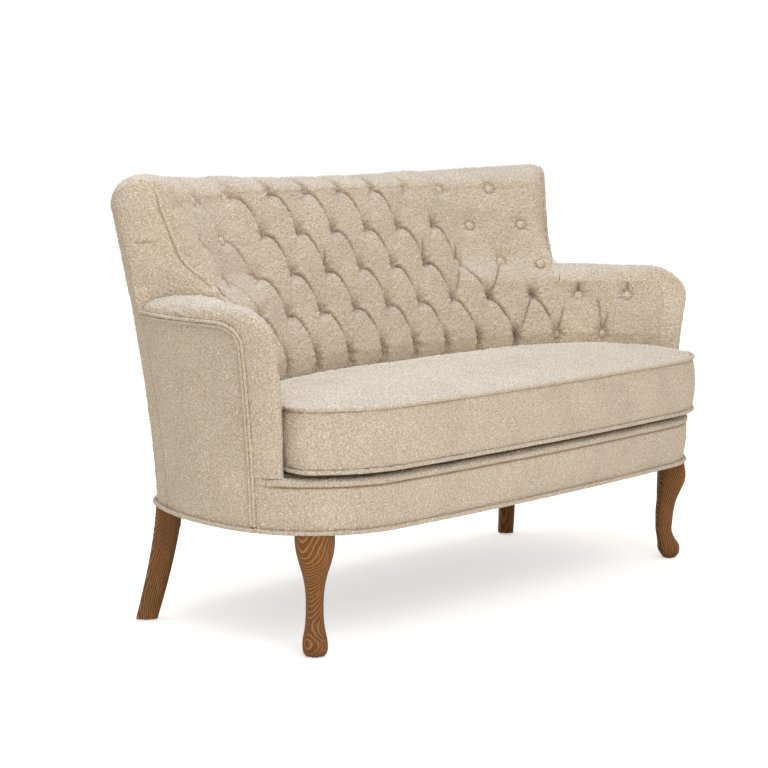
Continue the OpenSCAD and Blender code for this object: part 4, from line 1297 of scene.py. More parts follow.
@dataclass
class WingFace:
    """Padded panel that closes one end of the back above the arm."""

    back: ButtonedBack
    side: int
    dome: float = 11
    across: int = 52
    under: float = 5
    lap: float = 1.4
    fold_in: float = 9
    fold_w: float = 2.2
    fold_depth: float = 2.2
    pleat_z: float = 738
    pleat_w: float = 2.4
    pleat_depth: float = 1.6

    def edges(self) -> tuple:
        """Inner and outer edge of the panel, row by row.

        Returns:
            Points of the inner edge and of the outer one, shares of the quarter turn round the roll
            over the top, and heights.
        """
        plan, tufts = self.back.tufting.plan, self.back.tufting
        s, edge = plan.wing_s + plan.gap, np.array([plan.wing_s])
        z = np.linspace(plan.band_edge_z + plan.gap, plan.roll_edge_z, 110)
        t = np.linspace(80, plan.rows_t, 80)
        rim = tufts.place(edge + 0 * t, t, tufts.relief(edge + 0 * t, t)[0], 0 * t)
        # distance out of the pad's end, from its own edge
        x0, y0, turn = (float(k) for k in plan.line_at(plan.wing_s))
        reach = (rim[:, 0] - x0) * math.sin(math.radians(turn)) + (
            rim[:, 1] - plan.inside_y - y0) * math.cos(math.radians(turn))
        last = float(tufts.relief(edge, plan.rows_t + 0 * edge)[0][0])
        k = np.linspace(4, 84, 40)
        end, share, none = np.full_like(k, plan.wing_s), np.full_like(k, last), np.zeros_like(k)
        inner = np.concatenate([plan.inside(s, np.interp(z, rim[:, 2], reach) - self.lap, z),
                                self.back.roll(end, k, share, none)])
        outer = np.concatenate([plan.inside(s, plan.meet(s, z)[0], z),
                                self.back.roll(end, 180 - k, share, none)])
        return inner, outer, np.concatenate([0 * z, k / 90]), np.concatenate([z, none + plan.roll_edge_z])

    def build(self) -> Object:
        """Builds the panel.

        Returns:
            The finished object, with the painted shade of its folds stored as fold.
        """
        plan = self.back.tufting.plan
        inner, outer, rise, height = self.edges()
        rise, height = rise[:, None], height[:, None]
        f = np.linspace(0, 1, self.across)
        flat = inner[:, None, :] + (outer - inner)[:, None, :] * f[None, :, None]
        dome = self.dome * (1 - np.abs(2 * f - 1) ** 3.2)[None, :] * (1 - rise ** 2.6)
        foot = ease((height - plan.arm_top_z - 4) / 14)
        # one fold beside the inner seam and a short level pleat
        inset = f[None, :] * np.linalg.norm(outer - inner, axis=1)[:, None]
        fold = bell(inset - self.fold_in, self.fold_w) * foot * (1 - rise)
        level = bell(height - self.pleat_z + 6 * f[None, :], self.pleat_w) * ease((f[None, :] - 0.25) * 4) * (
            1 - ease((f[None, :] - 0.7) * 5))
        dome = mix(self.dome, dome, foot) - self.fold_depth * fold - self.pleat_depth * level
        dome = dome + 0.6 * flat_noise(f[None, :] * 4, height / 40, SEED)
        a = math.radians(float(plan.line_at(plan.wing_s + plan.gap)[2]))
        along = np.array([math.cos(a), -math.sin(a), 0])
        front = flat + along * np.maximum(dome, 0.4)[..., None]
        rear = (flat - along * self.under * (0.06 + 0.94 * ease(f / 0.2))[None, :, None])[::-1]
        # painted shade along the fold beside the seam and along the level pleat
        return shell(f"wing_panel_{SIDES[self.side]}", on_side(front, self.side),
                     on_side(rear, self.side), np.maximum(0.55 * fold, 0.5 * level))


@dataclass
class ArmBand:
    """Padded band over the top of one arm, round its front corner and down its front."""

    plan: SetteePlan
    side: int
    around: int = 54
    rows_over: int = 80
    rows_turned: int = 22
    rows_down: int = 100
    squareness: float = 0.8
    nose: float = 7
    softness: float = 1.4

    def over(self, s: float, f: np.ndarray) -> np.ndarray:
        """Points across the band on top of the arm.

        Args:
            s: Distance along the inside line.
            f: Shares of the way from the outer seam to the inner one.

        Returns:
            Points in the last axis.
        """
        plan = self.plan
        a, z = math.radians(plan.lean), plan.band_edge_z + plan.gap
        n0, t = float(plan.meet(s, plan.band_edge_z)[0]), float(plan.seam_t(s))
        n1 = t * math.sin(a) + float(plan.crest_n(s)) * math.cos(a)
        # squarer than a half circle, as a filled band is
        w = np.pi * f
        n = mix(n0, n1, (1 - np.sign(np.cos(w)) * np.abs(np.cos(w)) ** self.squareness) / 2)
        high = (plan.band_rise - plan.gap) * np.sin(w) ** self.squareness
        # its inner side goes on up the lean of the pad below
        n = n + high * math.tan(a) * np.clip(2 * f - 1, 0, 1)
        return plan.inside(s, n, z + high)

    def face(self, z: Value, f: np.ndarray) -> np.ndarray:
        """Points across the band down the front.

        Args:
            z: Heights, one for each share.
            f: Shares of the way from the outer seam to the inner one.

        Returns:
            Points in the last axis.
        """
        plan = self.plan
        z = np.broadcast_to(np.asarray(z, float), f.shape)
        g = np.clip(f * 1.5, 0, 1)
        out = plan.outside(mix(plan.welt_seam, plan.facing_seam, g), z, 3 * np.sin(np.pi * g) ** 0.7)
        s = plan.pad_end_s + plan.gap
        inner = plan.inside(s, plan.lean_at(z) + plan.crest_n(s), z)
        h = np.clip(f * 3 - 2, 0, 1)[..., None]
        bend = self.nose * np.sin(np.pi * h) * np.array([0.2, -1, 0])
        return np.where((f <= 2 / 3)[..., None], out, mix(plan.outside(plan.facing_seam, z), inner, h) + bend)

    def rear(self, z: float) -> np.ndarray:
        """Two hidden points behind the front of the band.

        Args:
            z: Height.

        Returns:
            The inner and the outer point.
        """
        plan = self.plan
        s = plan.pad_end_s + plan.gap
        return np.stack([plan.inside(s, plan.rear_n(s) + plan.lean_at(z), z),
                         plan.outside(plan.welt_seam, z, -plan.facing_t)])

    def build(self) -> Object:
        """Builds the band.

        Returns:
            The finished object.
        """
        plan = self.plan
        f = np.linspace(0, 1, self.around)
        rings, hidden = [], []
        for s in np.linspace(plan.band_s, plan.arm_front_s, self.rows_over):
            rings.append(self.over(s, f))
            hidden.append(mix(rings[-1][-1], rings[-1][0], np.array([[0.33], [0.67]])))
        over, down, last = rings[-1], self.face(plan.arm_front_z, f), hidden[-1]
        cross = self.face(over[:, 2], f)
        for k in np.radians(np.linspace(0, 90, self.rows_turned)[1:]):
            rings.append(cross + (over - cross) * (1 - math.sin(k)) + (down - cross) * (1 - math.cos(k)))
            hidden.append(mix(last, self.rear(plan.arm_front_z), 1 - math.cos(k)))
        for z in np.linspace(plan.arm_front_z, plan.border_top + plan.gap, self.rows_down)[1:]:
            rings.append(self.face(z, f))
            hidden.append(self.rear(z))
        rings = np.stack(rings)
        n, m = rings.shape[:2]
        row, column = np.arange(n)[:, None], np.arange(m)[None, :]
        soft = self.softness * flat_noise(row / 13, column / 12, SEED + self.side) * np.sin(
            np.pi * column / (m - 1))
        away = rings - rings.mean(axis=1, keepdims=True)
        rings = rings + away / np.linalg.norm(away, axis=2, keepdims=True) * soft[..., None]
        full = np.concatenate([rings, np.stack(hidden)], axis=1)
        return tube(f"arm_roll_{SIDES[self.side]}", on_side(full, self.side))


@dataclass
class OutsideCovers:
    """Stretched covers of the outside back and of both outside arms."""

    plan: SetteePlan
    tuck: float = 2.2

    def wing_angle(self, z: float) -> float:
        """Angle of the seam behind a wing."""
        return float(self.plan.meet(self.plan.wing_s, z)[1])

    def turned(self, angle: float, length: float) -> float:
        """Moves an angle along the outline."""
        plan = self.plan
        return angle + math.degrees(length / (plan.corner_r + plan.flare_at(plan.band_edge_z)))

    def panel(self, name: str, heights: np.ndarray, spans: list, count: int) -> Object:
        """One cover between two seams.

        Args:
            name: Name of the piece.
            heights: Heights of its rows.
            spans: First and last angle of each row.
            count: Number of points in a row.

        Returns:
            The finished object.
        """
        plan = self.plan
        f = np.linspace(0, 1, count)
        angles = np.stack([mix(a0, a1, f) for a0, a1 in spans])
        # rows past 180 degrees go on down the left side
        angles = np.where(angles > 180, angles - 360, angles)
        z = np.broadcast_to(heights[:, None], angles.shape)
        soft = 0.7 * flat_noise(angles / 9, z / 60, SEED)
        edge = ease(np.minimum(f, 1 - f) * count / 3)[None, :]
        outer = plan.outside(angles, z, soft * edge - self.tuck * (1 - edge))
        inner = plan.outside(angles, z, -plan.shell_t)
        return shell(name, outer, inner[::-1])

    def build(self) -> list:
        """Builds the three covers.

        Returns:
            The outside back and the left and right outside arm.
        """
        plan = self.plan
        zs = np.linspace(plan.base_z, plan.roll_edge_z, 120)
        back = self.panel("back_cover", zs,
                          [(self.wing_angle(z), 180 - self.wing_angle(z)) for z in zs], 300)
        k = np.radians(np.linspace(0, 88, 20))[1:]
        hs = np.concatenate([np.linspace(plan.base_z, plan.arm_front_z, 96),
                             plan.arm_front_z + plan.arm_corner_r * np.sin(k)])
        front_angle = float(plan.meet(plan.arm_front_s, plan.band_edge_z)[1])
        corner = 1 - np.sqrt(1 - np.clip((hs - plan.arm_front_z) / plan.arm_corner_r, 0, 1) ** 2)
        starts = [self.turned(mix(plan.welt_seam, front_angle, c), 1) for c in corner]
        ends = [self.turned(self.wing_angle(z), -1) for z in hs]
        right = self.panel("arm_cover_right", hs, list(zip(starts, ends)), 110)
        left = self.panel("arm_cover_left", hs, [(180 - a, 180 - b) for a, b in zip(starts, ends)], 110)
        return [back, left, right]


@dataclass
class FrontBorder:
    """Padded border under the cushion, with a rolled lip and a seam along its top."""

    plan: SetteePlan
    lip: float = 3.5
    seam_drop: float = 15
    seam_w: float = 2.2
    edge_r: float = 4
    softness: float = 0.7

    def build(self) -> Object:
        """Builds the border.

        Returns:
            The finished object.
        """
        plan = self.plan
        z = np.linspace(plan.base_z, plan.border_top, 56)
        a = np.linspace(-180 - plan.welt_seam, plan.welt_seam, 520)
        ga, gz = np.meshgrid(a, z)
        f = (gz - plan.base_z) / (plan.border_top - plan.base_z)
        ends = ease(np.minimum(plan.welt_seam - ga, ga + 180 + plan.welt_seam) / plan.border_fade)
        under = plan.border_top - gz
        seam = bell(under - self.seam_drop, self.seam_w)
        lip = np.sqrt(np.clip(1 - (2 * under / self.seam_drop - 1) ** 2, 0, 1))
        round_top = self.edge_r * (1 - ease(under / self.edge_r))
        swell = (plan.side_bulge + self.softness * flat_noise(ga / 4, gz / 30, SEED)) * np.sin(np.pi * f)
        out = (swell + self.lip * lip - self.seam_w * seam - round_top) * ends
        front = plan.outside(ga, gz, out)
        rear = np.concatenate([plan.outline(ga, -plan.border_t), gz[..., None]], -1)[::-1]
        # painted shade along the seam's groove
        return shell("padded_border", front, rear, 0.85 * seam * ends)


@dataclass
class BenchCushion:
    """Loose bench cushion: crowned, with sides that swell between its two welts."""

    plan: SetteePlan
    step: float = 7
    voxel: float = 8
    cap: float = 9
    frames: int = 20
    zip_half: float = 230
    zip_z: float = 397.6
    tape_w: float = 26
    tape_step: float = 2
    bare: float = 12
    # settings of the cloth that is filled under pressure
    filling: tuple = (("quality", 5), ("mass", 0.3), ("tension_stiffness", 15), ("compression_stiffness", 15),
                      ("bending_stiffness", 0.5), ("use_pressure", True), ("uniform_pressure_force", 4))

    def outline(self, off: float = 0.0) -> np.ndarray:
        """Plan of the cushion at its seams.

        Args:
            off: Distance out of the seam.

        Returns:
            Evenly spaced points round it, from the middle of the front.
        """
        plan = self.plan
        front = plan.outline(np.linspace(-90, plan.ear_angle, 60), plan.cushion_overhang)
        ear = plan.outline(np.array([plan.facing_seam]), -plan.ear_in)
        s = plan.column_s(np.linspace(28, 0, 80))
        inner = plan.inside(s, plan.crest_n(s) - plan.welt_d, 0)[:, :2]
        inner[:, 1] = np.minimum(inner[:, 1], self.zip_y)
        half = np.concatenate([front, ear, inner])
        path = np.concatenate([half, (half * [-1, 1])[-2:0:-1]])
        path = rounded(resampled(path, self.step, closed=True), 3)
        ahead = np.roll(path, -1, 0) - np.roll(path, 1, 0)
        normal = np.stack([ahead[:, 1], -ahead[:, 0]], -1) / np.linalg.norm(ahead, axis=1, keepdims=True)
        return path + normal * np.asarray(off).reshape(-1, 1)

    def rings(self) -> np.ndarray:
        """Rings of the filled shape from the middle of its underside to the middle of its top.

        Returns:
            Rings of points.
        """
        plan = self.plan
        path = self.outline()
        mid_y = (path[:, 1].max() + path[:, 1].min()) / 2
        # only the sides clear of the zip swell
        ahead = 1 - ease((path[:, 1:] - mid_y - 60) / 60)
        lift = plan.cushion_z - plan.seat_z - plan.gap
        rings = []
        for f in np.linspace(0.9, 0, 12):
            drop = lift * math.sin(math.pi / 2 * min(1, f * 9)) ** 0.7
            rings.append(shrunk(path, f, plan.cushion_z - drop))
        for g in np.linspace(0, 1, 22)[1:-1]:
            swell = (plan.side_bulge + 2) * (1 - abs(2 * g - 1) ** 2.2) * ahead
            rings.append(shrunk(self.outline(swell), 0, mix(plan.cushion_z, plan.cushion_top, g)))
        for f in np.linspace(0, 0.93, 34) ** 1.25:
            crown = plan.cushion_crown * math.sin(math.pi / 2 * min(1, f * 1.25)) ** 0.72
            rim = shrunk(path, f, plan.cushion_top + crown)
            rim[:, 2] += 2.0 * flat_noise(rim[:, 0] / 120, rim[:, 1] / 90, SEED) * min(1, f * 5)
            rim[:, 2] += 0.9 * flat_noise(rim[:, 0] / 38, rim[:, 1] / 30, SEED + 3) * min(1, f * 8)
            rings.append(rim)
        return np.stack(rings)

    def held(self, points: np.ndarray) -> np.ndarray:
        """Which points the filling leaves in place: those at the seams, underneath and at the zip.

        Args:
            points: Points in metres.

        Returns:
            True for each held point.
        """
        plan, path = self.plan, self.outline()
        near = np.array([np.min(np.hypot(*(path * MM - point).T)) for point in points[:, :2]])
        seam = np.min([np.abs(points[:, 2] - z * MM) for z in (plan.cushion_z, plan.cushion_top)], axis=0)
        sewn = (near < 1.3 * self.voxel * MM) & (seam < self.voxel * MM)
        return sewn | (points[:, 2] < (plan.seat_z + plan.gap + 2) * MM) | self.at_zip(points, self.bare)

    def limited(self, start: np.ndarray, end: np.ndarray) -> np.ndarray:
        """Points after the filling, none moved further than the cap, and the zip's strip kept back.

        Args:
            start: Points before it, in metres.
            end: Points after it.

        Returns:
            The points that are kept.
        """
        move = end - start
        far = np.linalg.norm(move, axis=1, keepdims=True)
        limit = self.cap * MM
        full = start + move * (limit * np.tanh(far / limit) / np.maximum(far, 1e-9))
        behind = np.minimum(full[:, 1], (self.zip_y - self.tape_step) * MM)
        full[:, 1] = np.where(self.at_zip(full, 1), behind, full[:, 1])
        LOG.info("cushion filled: moved up to %.1f mm", far.max() / MM)
        return full

    def inflate(self, obj: Object) -> None:
        """Fills the cushion by a short cloth simulation held at its seams.

        Args:
            obj: The cushion; its mesh is replaced by the result.
        """
        remesh = obj.modifiers.new("remesh", "REMESH")
        remesh.mode = "VOXEL"
        remesh.voxel_size = self.voxel * MM
        remesh.use_smooth_shade = True
        keep_shape(obj)
        start = coordinates(obj.data)
        group = obj.vertex_groups.new(name="seams")
        group.add(np.nonzero(self.held(start))[0].tolist(), 1.0, "REPLACE")
        cloth = obj.modifiers.new("fill", "CLOTH")
        for name, value in self.filling:
            setattr(cloth.settings, name, value)
        cloth.settings.vertex_group_mass = group.name
        cloth.settings.effector_weights.gravity = 0
        cloth.point_cache.frame_start = 1
        cloth.point_cache.frame_end = self.frames
        scene = bpy.context.scene
        for frame in range(1, self.frames + 1):
            scene.frame_set(frame)
        keep_shape(obj)
        scene.frame_set(1)
        obj.data.vertices.foreach_set("co", self.limited(start, coordinates(obj.data)).ravel())
        obj.vertex_groups.clear()
        fine = obj.modifiers.new("fine", "SUBSURF")
        fine.levels = fine.render_levels = 1
        keep_shape(obj)
        point_value(obj, "shown", np.ones(len(obj.data.vertices)))

    def build(self) -> Object:
        """Returns:
            The finished object.
        """
        obj = tube("bench_cushion", self.rings())
        self.inflate(obj)
        self.bare_zip(obj)
        return obj

    def bare_zip(self, obj: Object) -> None:
        """Keeps loose nubs off the strip along which the cushion's zip runs."""
        strip = self.at_zip(coordinates(obj.data), self.bare)
        obj.data.attributes["shown"].data.foreach_set("value", np.where(strip, 0, 1).astype(np.float32))

    @property
    def zip_y(self) -> float:
        """Place along Y of the cushion's rear side."""
        return self.plan.inside_y - self.plan.tuft_depth - self.plan.cushion_back_gap

    def at_zip(self, points: np.ndarray, margin: float) -> np.ndarray:
        """Which points lie on the strip along which the zip runs.

        Args:
            points: Points in metres.
            margin: How far the strip goes past the tape, in millimetres.

        Returns:
            True for each point on the strip.
        """
        x, y, z = points.T / MM
        return (np.abs(x) < self.zip_half + margin) & (y > self.zip_y - self.bare) & (
            np.abs(z - self.zip_z) < self.tape_w / 2 + margin)


@dataclass
class Linings:
    """Cloth that shows when the cushion is off or from below: deck, dust cover, webbing and zip tape."""

    plan: SetteePlan
    inset: float = 11
    strap_w: float = 50
    strap_t: float = 2
    strap_points: int = 160
    crown: float = 1.6
    sag: float = 2.5
    strap_shares: tuple = (0.17, 0.4, 0.64, 0.88)

    def levels(self, name: str, path: np.ndarray, levels: list) -> Object:
        """Flat filled piece: its plan drawn in by a share at a height, for each level from below."""
        return tube(name, np.stack([shrunk(path, f, z) for f, z in levels]))

    def deck(self) -> Object:
        """Felt pad under the cushion, with a rounded edge and a slight crown.

        Returns:
            The finished object.
        """
        plan = self.plan
        s = plan.column_s(np.linspace(28.8, -28.8, 150))
        inner = plan.inside(s, plan.rear_n(s) - plan.gap, 0)[:, :2]
        span = 180 + 2 * plan.facing_seam
        front = plan.outline(np.linspace(-90 - span / 2, -90 + span / 2, 120), -self.inset)
        path = rounded(resampled(np.concatenate([inner, front]), 8, closed=True), 2)
        top, low = plan.seat_z - 0.6, plan.deck_z
        edge = [(0.9, low), (0.03, low), (0.004, low + 3), (0, low + 7), (0.004, top - 5), (0.015, top - 2.4)]
        crown = [(f, top + self.crown * (math.sin(math.pi / 2 * min(1, f * 2.5)) - 1))
                 for f in np.linspace(0.04, 0.92, 20)]
        return self.levels("deck_pad_cloth", path, edge + crown)

    def dust_cover(self) -> Object:
        """Black cloth stapled under the rails, sagging a little between them.

        Returns:
            The finished object.
        """
        plan = self.plan
        path = resampled(plan.outline(np.linspace(-180, 180, 500)[:-1], -self.inset), 8, closed=True)
        under = [(f, plan.base_z - self.sag * ease(f * 2)) for f in np.linspace(0, 0.92, 16)]
        over = [(f, z + plan.dust_cover_t) for f, z in under]
        return self.levels("dust_cover_cloth", path, under[::-1] + over)

    def webbing(self) -> Object:
        """Jute straps stretched behind the buttoned pads, the lowest one round to the arms.

        Returns:
            The finished object.
        """
        plan, straps, faces = self.plan, [], []
        lean, m = math.cos(math.radians(plan.lean)), self.strap_points
        for share in self.strap_shares:
            last = 28 if share == self.strap_shares[0] else 20
            s = plan.column_s(np.linspace(-last, last, m))
            z0 = plan.row_z + share * plan.rows_t * lean - self.strap_w
            high = self.strap_w * lean
            # height and share of the thickness of each edge of the strap's section
            path = [(z0, 0), (z0 + high / 2, 0), (z0 + high, 0), (z0 + high, 1), (z0, 1)]
            first, n = len(straps) * len(path) * m, len(path)
            faces += grid_faces(n, m, first, looped=True)
            faces += [[first + j * m + i for j in range(n)] for i in (0, m - 1)]
            straps.append(np.stack([
                plan.inside(s, plan.rear_n(s) + plan.gap + k * self.strap_t + plan.lean_at(z), z)
                for z, k in path]))
        return mesh_object("jute_straps", np.stack(straps), faces, smooth=False)

    def zip_tape(self) -> Object:
        """Woven tape in the cushion's rear side, with the ridge of the closed coil along its middle.

        Returns:
            The finished object.
        """
        sewn = BenchCushion(self.plan)
        x = np.linspace(-sewn.zip_half, sewn.zip_half, 230)
        z = np.array([-0.5, -0.47, -0.12, -0.08, 0, 0.08, 0.12, 0.47, 0.5]) * sewn.tape_w
        ridge = np.array([0, 0.4, 0.4, 1.1, 1.2, 1.1, 0.4, 0.4, 0])
        y = sewn.zip_y
        gx, gz = np.meshgrid(x, z)
        teeth = 0.12 * np.sin(gx * math.pi / 2) * (ridge > 1)[:, None]
        front = np.stack([gx, y + 0.05 + ridge[:, None] * 0.95 + teeth, gz + sewn.zip_z], -1)
        rear = np.stack([gx, np.full_like(gx, y), gz + sewn.zip_z], -1)[[-1, 0]]
        return shell("zip_tape_cloth", front, rear)


# Cords, buttons and legs
def new_group(name: str, inputs: dict) -> tuple:
    """An empty Geometry Nodes group with named inputs.

    Args:
        name: Name of the group.
        inputs: Socket type of each input between the geometry and the material.

    Returns:
        The group and its input node.
    """
    tree = bpy.data.node_groups.new(name, "GeometryNodeTree")
    for key, kind in {"Geometry": "Geometry", **inputs, "Material": "Material"}.items():
        tree.interface.new_socket(key, in_out="INPUT", socket_type="NodeSocket" + kind)
    tree.interface.new_socket("Geometry", in_out="OUTPUT", socket_type="NodeSocketGeometry")
    return tree, add(tree, "NodeGroupInput")


def end_group(tree: NodeTree, start: Node, shape: Node) -> NodeTree:
    """Makes a group's result real, smooth and of its material.

    Args:
        tree: The group.
        start: Its input node.
        shape: The node that gives the result.

    Returns:
        The group.
    """
    real = add(tree, "GeometryNodeRealizeInstances", (shape,))
    smooth = add(tree, "GeometryNodeSetShadeSmooth", (real,))
    painted = add(tree, "GeometryNodeSetMaterial", {0: smooth, "Material": start.outputs["Material"]})
    add(tree, "NodeGroupOutput", (painted,))
    return tree


def grown(name: str, mesh: Mesh, tree: NodeTree, values: dict) -> Object:
    """Runs a Geometry Nodes group on a mesh and keeps the result as a plain mesh.

    Args:
        name: Name of the piece.
        mesh: The mesh it starts from.
        tree: The group.
        values: Values of its inputs by name.

    Returns:
        The new object.
    """
    obj = linked(name, mesh)
    modifier = obj.modifiers.new("grow", "NODES")
    modifier.node_group = tree
    for item in tree.interface.items_tree:
        if item.in_out == "INPUT" and item.name in values:
            modifier[item.identifier] = values[item.name]
    keep_shape(obj)
    return obj


def cord_group() -> NodeTree:
    """Group that lays a round cord along each run of edges.

    Returns:
        The group.
    """
    tree, start = new_group("cord", {"Radius": "Float", "Sides": "Int"})
    curve = add(tree, "GeometryNodeMeshToCurve", (start,))
    ring = add(tree, "GeometryNodeCurvePrimitiveCircle", {"Resolution": start.outputs["Sides"],
                                                          "Radius": start.outputs["Radius"]})
    skin = add(tree, "GeometryNodeCurveToMesh", {"Curve": curve, "Profile Curve": ring, "Fill Caps": True})
    return end_group(tree, start, skin)


def button_group() -> NodeTree:
    """Group that sets a covered button on each point, facing along the attribute aim.

    Returns:
        The group.
    """
    tree, start = new_group("buttons", {"Radius": "Float", "Height": "Float"})
    ball = add(tree, "GeometryNodeMeshUVSphere", {"Segments": 12, "Rings": 7, "Radius": 1.0})
    radius = start.outputs["Radius"]
    size = add(tree, "ShaderNodeCombineXYZ", (radius, radius, start.outputs["Height"]))
    shaped = add(tree, "GeometryNodeTransform", {0: ball, "Scale": size})
    aim = add(tree, "GeometryNodeInputNamedAttribute", {"Name": "aim"}, data_type="FLOAT_VECTOR")
    turn = add(tree, "FunctionNodeAlignRotationToVector", {"Vector": aim}, axis="Z")
    set_on = add(tree, "GeometryNodeInstanceOnPoints", {"Points": start, "Instance": shaped,
                                                        "Rotation": turn})
    return end_group(tree, start, set_on)


def nub_group() -> NodeTree:
    """Group that scatters small nubs of yarn over a cover, as densely as the attribute shown says.

    Returns:
        The group.
    """
    tree, start = new_group("nubs", {"Density": "Float", "Radius": "Float", "Seed": "Int"})
    shown = add(tree, "GeometryNodeInputNamedAttribute", {"Name": "shown"}, data_type="FLOAT")
    density = add(tree, "ShaderNodeMath", (shown, start.outputs["Density"]), operation="MULTIPLY")
    spots = add(tree, "GeometryNodeDistributePointsOnFaces", {"Mesh": start, "Density": density,
                                                              "Seed": start.outputs["Seed"]})
    ball = add(tree, "GeometryNodeMeshUVSphere", {"Segments": 4, "Rings": 2,
                                                  "Radius": start.outputs["Radius"]})
    turn = add(tree, "FunctionNodeRandomValue", {0: (0.0, 0.0, 0.0), 1: (6.28, 6.28, 6.28), "Seed": SEED},
               data_type="FLOAT_VECTOR")
    size = add(tree, "FunctionNodeRandomValue", {0: (0.45, 0.45, 0.45), 1: (1.35, 1.0, 1.0),
                                                 "Seed": SEED + 1}, data_type="FLOAT_VECTOR")
    set_on = add(tree, "GeometryNodeInstanceOnPoints", {"Points": spots, "Instance": ball,
                                                        "Rotation": turn, "Scale": size})
    return end_group(tree, start, set_on)


@dataclass
class Cords:
    """Cords sewn into the seams: single ones round the base and cushion, pairs round the facings."""

    plan: SetteePlan
    tree: NodeTree
    material: Material
    sides: int = 12
    step: float = 3
    above_base: float = 12

    def lay(self, name: str, runs: list, radius: float, closed: bool) -> Object:
        """Lays cords of one radius.

        Args:
            name: Name of the piece.
            runs: Centre lines in millimetres.
            radius: Radius of the cords.
            closed: Whether each line returns to its start.

        Returns:
            The finished object.
        """
        points, edges = [], []
        for run in runs:
            path = rounded(resampled(np.asarray(run), self.step, closed), 2, closed)
            first = len(points)
            points += (path * MM).tolist()
            edges += [(first + i, first + i + 1) for i in range(len(path) - 1)]
            if closed:
                edges.append((first + len(path) - 1, first))
        mesh = bpy.data.meshes.new(name)
        mesh.from_pydata(points, edges, [])
        return nap(grown(name, mesh, self.tree, {"Radius": radius * MM, "Sides": self.sides,
                                                 "Material": self.material}), 0.5)

    def facing_pair(self, side: int) -> Object:
        """Two cords along an arm's outer edge, round its corner and down its front.

        Args:
            side: 1 for right, -1 for left.

        Returns:
            The finished object.
        """
        plan = self.plan
        a0 = float(plan.meet(plan.band_s, plan.band_edge_z)[1])
        a1 = float(plan.meet(plan.arm_front_s, plan.band_edge_z)[1])
        along, down = np.linspace(0, 1, 60), np.linspace(0, 1, 50)
        k = np.radians(np.linspace(90, 0, 26))[1:-1]
        angle = np.concatenate([mix(a0, a1, along), mix(a1, plan.welt_seam, np.cos(k)),
                                np.full_like(down, plan.welt_seam)])
        z = np.concatenate([np.full_like(along, plan.band_edge_z),
                            plan.arm_front_z + plan.arm_corner_r * np.sin(k),
                            mix(plan.arm_front_z, plan.base_z + self.above_base, down)])
        # direction in which the cord runs, from level along the arm to upright down its front
        way = np.concatenate([np.full_like(along, math.pi / 2), k, np.zeros_like(down)])
        radius = plan.double_welt_d / 2
        runs = []
        for part in (-1, 1):
            step = part * (radius + plan.gap / 2)
            over = angle - np.degrees(step * np.cos(way) / (plan.corner_r + plan.flare_at(z)))
            runs.append(on_side(plan.outside(over, z + step * np.sin(way), radius + plan.gap), side))
        return self.lay(f"double_cord_{SIDES[side]}", runs, radius, False)

    def base(self) -> Object:
        """Cord all round the lower edge of the covers.

        Returns:
            The finished object.
        """
        plan = self.plan
        angle = np.linspace(-180, 180, 900)[:-1]
        z = plan.base_z + plan.welt_d / 2
        ends = ease(np.minimum(plan.welt_seam - angle, angle + 180 + plan.welt_seam) / plan.border_fade)
        swell = plan.side_bulge * math.sin(math.pi * plan.welt_d / (plan.border_top - plan.base_z)) * ends
        run = plan.outside(angle, z, plan.welt_d / 2 + plan.gap + swell)
        return self.lay("base_cord", [run], plan.welt_d / 2, True)

    def cushion(self, cushion: BenchCushion, z: float, name: str) -> Object:
        """Cord round one seam of the cushion.

        Args:
            cushion: The cushion.
            z: Height of the seam.
            name: Name of the piece.

        Returns:
            The finished object.
        """
        path = cushion.outline(self.plan.welt_out_share * self.plan.welt_d)
        run = np.column_stack([path, np.full(len(path), z)])
        return self.lay(name, [run], self.plan.welt_d / 2, True)


@dataclass
class Buttons:
    """Covered buttons, sitting where the folds meet."""

    tufting: Tufting
    tree: NodeTree
    material: Material
    radius: float = 9.4
    height: float = 3.6
    lift: float = 0.6
    wing_lift: float = 4.4

    def build(self, name: str, arms: bool) -> Object:
        """Builds the back's buttons or the arms'.

        Args:
            name: Name of the piece.
            arms: Whether the arms' are wanted.

        Returns:
            The finished object.
        """
        plan, tufts = self.tufting.plan, self.tufting
        points, aims = [], []
        for u, row in tufts.buttons():
            if (abs(u) > 4.7) != arms:
                continue
            s, t = float(plan.column_s(4 * u)), row * plan.row_gap
            share, out, _ = tufts.relief(np.array([s]), np.array([t]))
            lift = self.wing_lift if abs(u) > tufts.wing_u and row > 0.5 else self.lift
            up = math.radians(float(tufts.normal_up(t)))
            turn = math.radians(float(plan.line_at(abs(s))[2])) * (1 if s > 0 else -1)
            aim = np.array([-math.sin(turn) * math.cos(up), -math.cos(turn) * math.cos(up), math.sin(up)])
            where = tufts.place(np.array([s]), np.array([t]), share, 0 * out)[0]
            points.append((where + aim * lift) * MM)
            aims.append(aim)
        mesh = bpy.data.meshes.new(name)
        mesh.from_pydata([tuple(q) for q in points], [], [])
        mesh.attributes.new("aim", "FLOAT_VECTOR", "POINT").data.foreach_set(
            "vector", np.array(aims, np.float32).ravel())
        return grown(name, mesh, self.tree, {"Radius": self.radius * MM, "Height": self.height * MM,
                                             "Material": self.material})


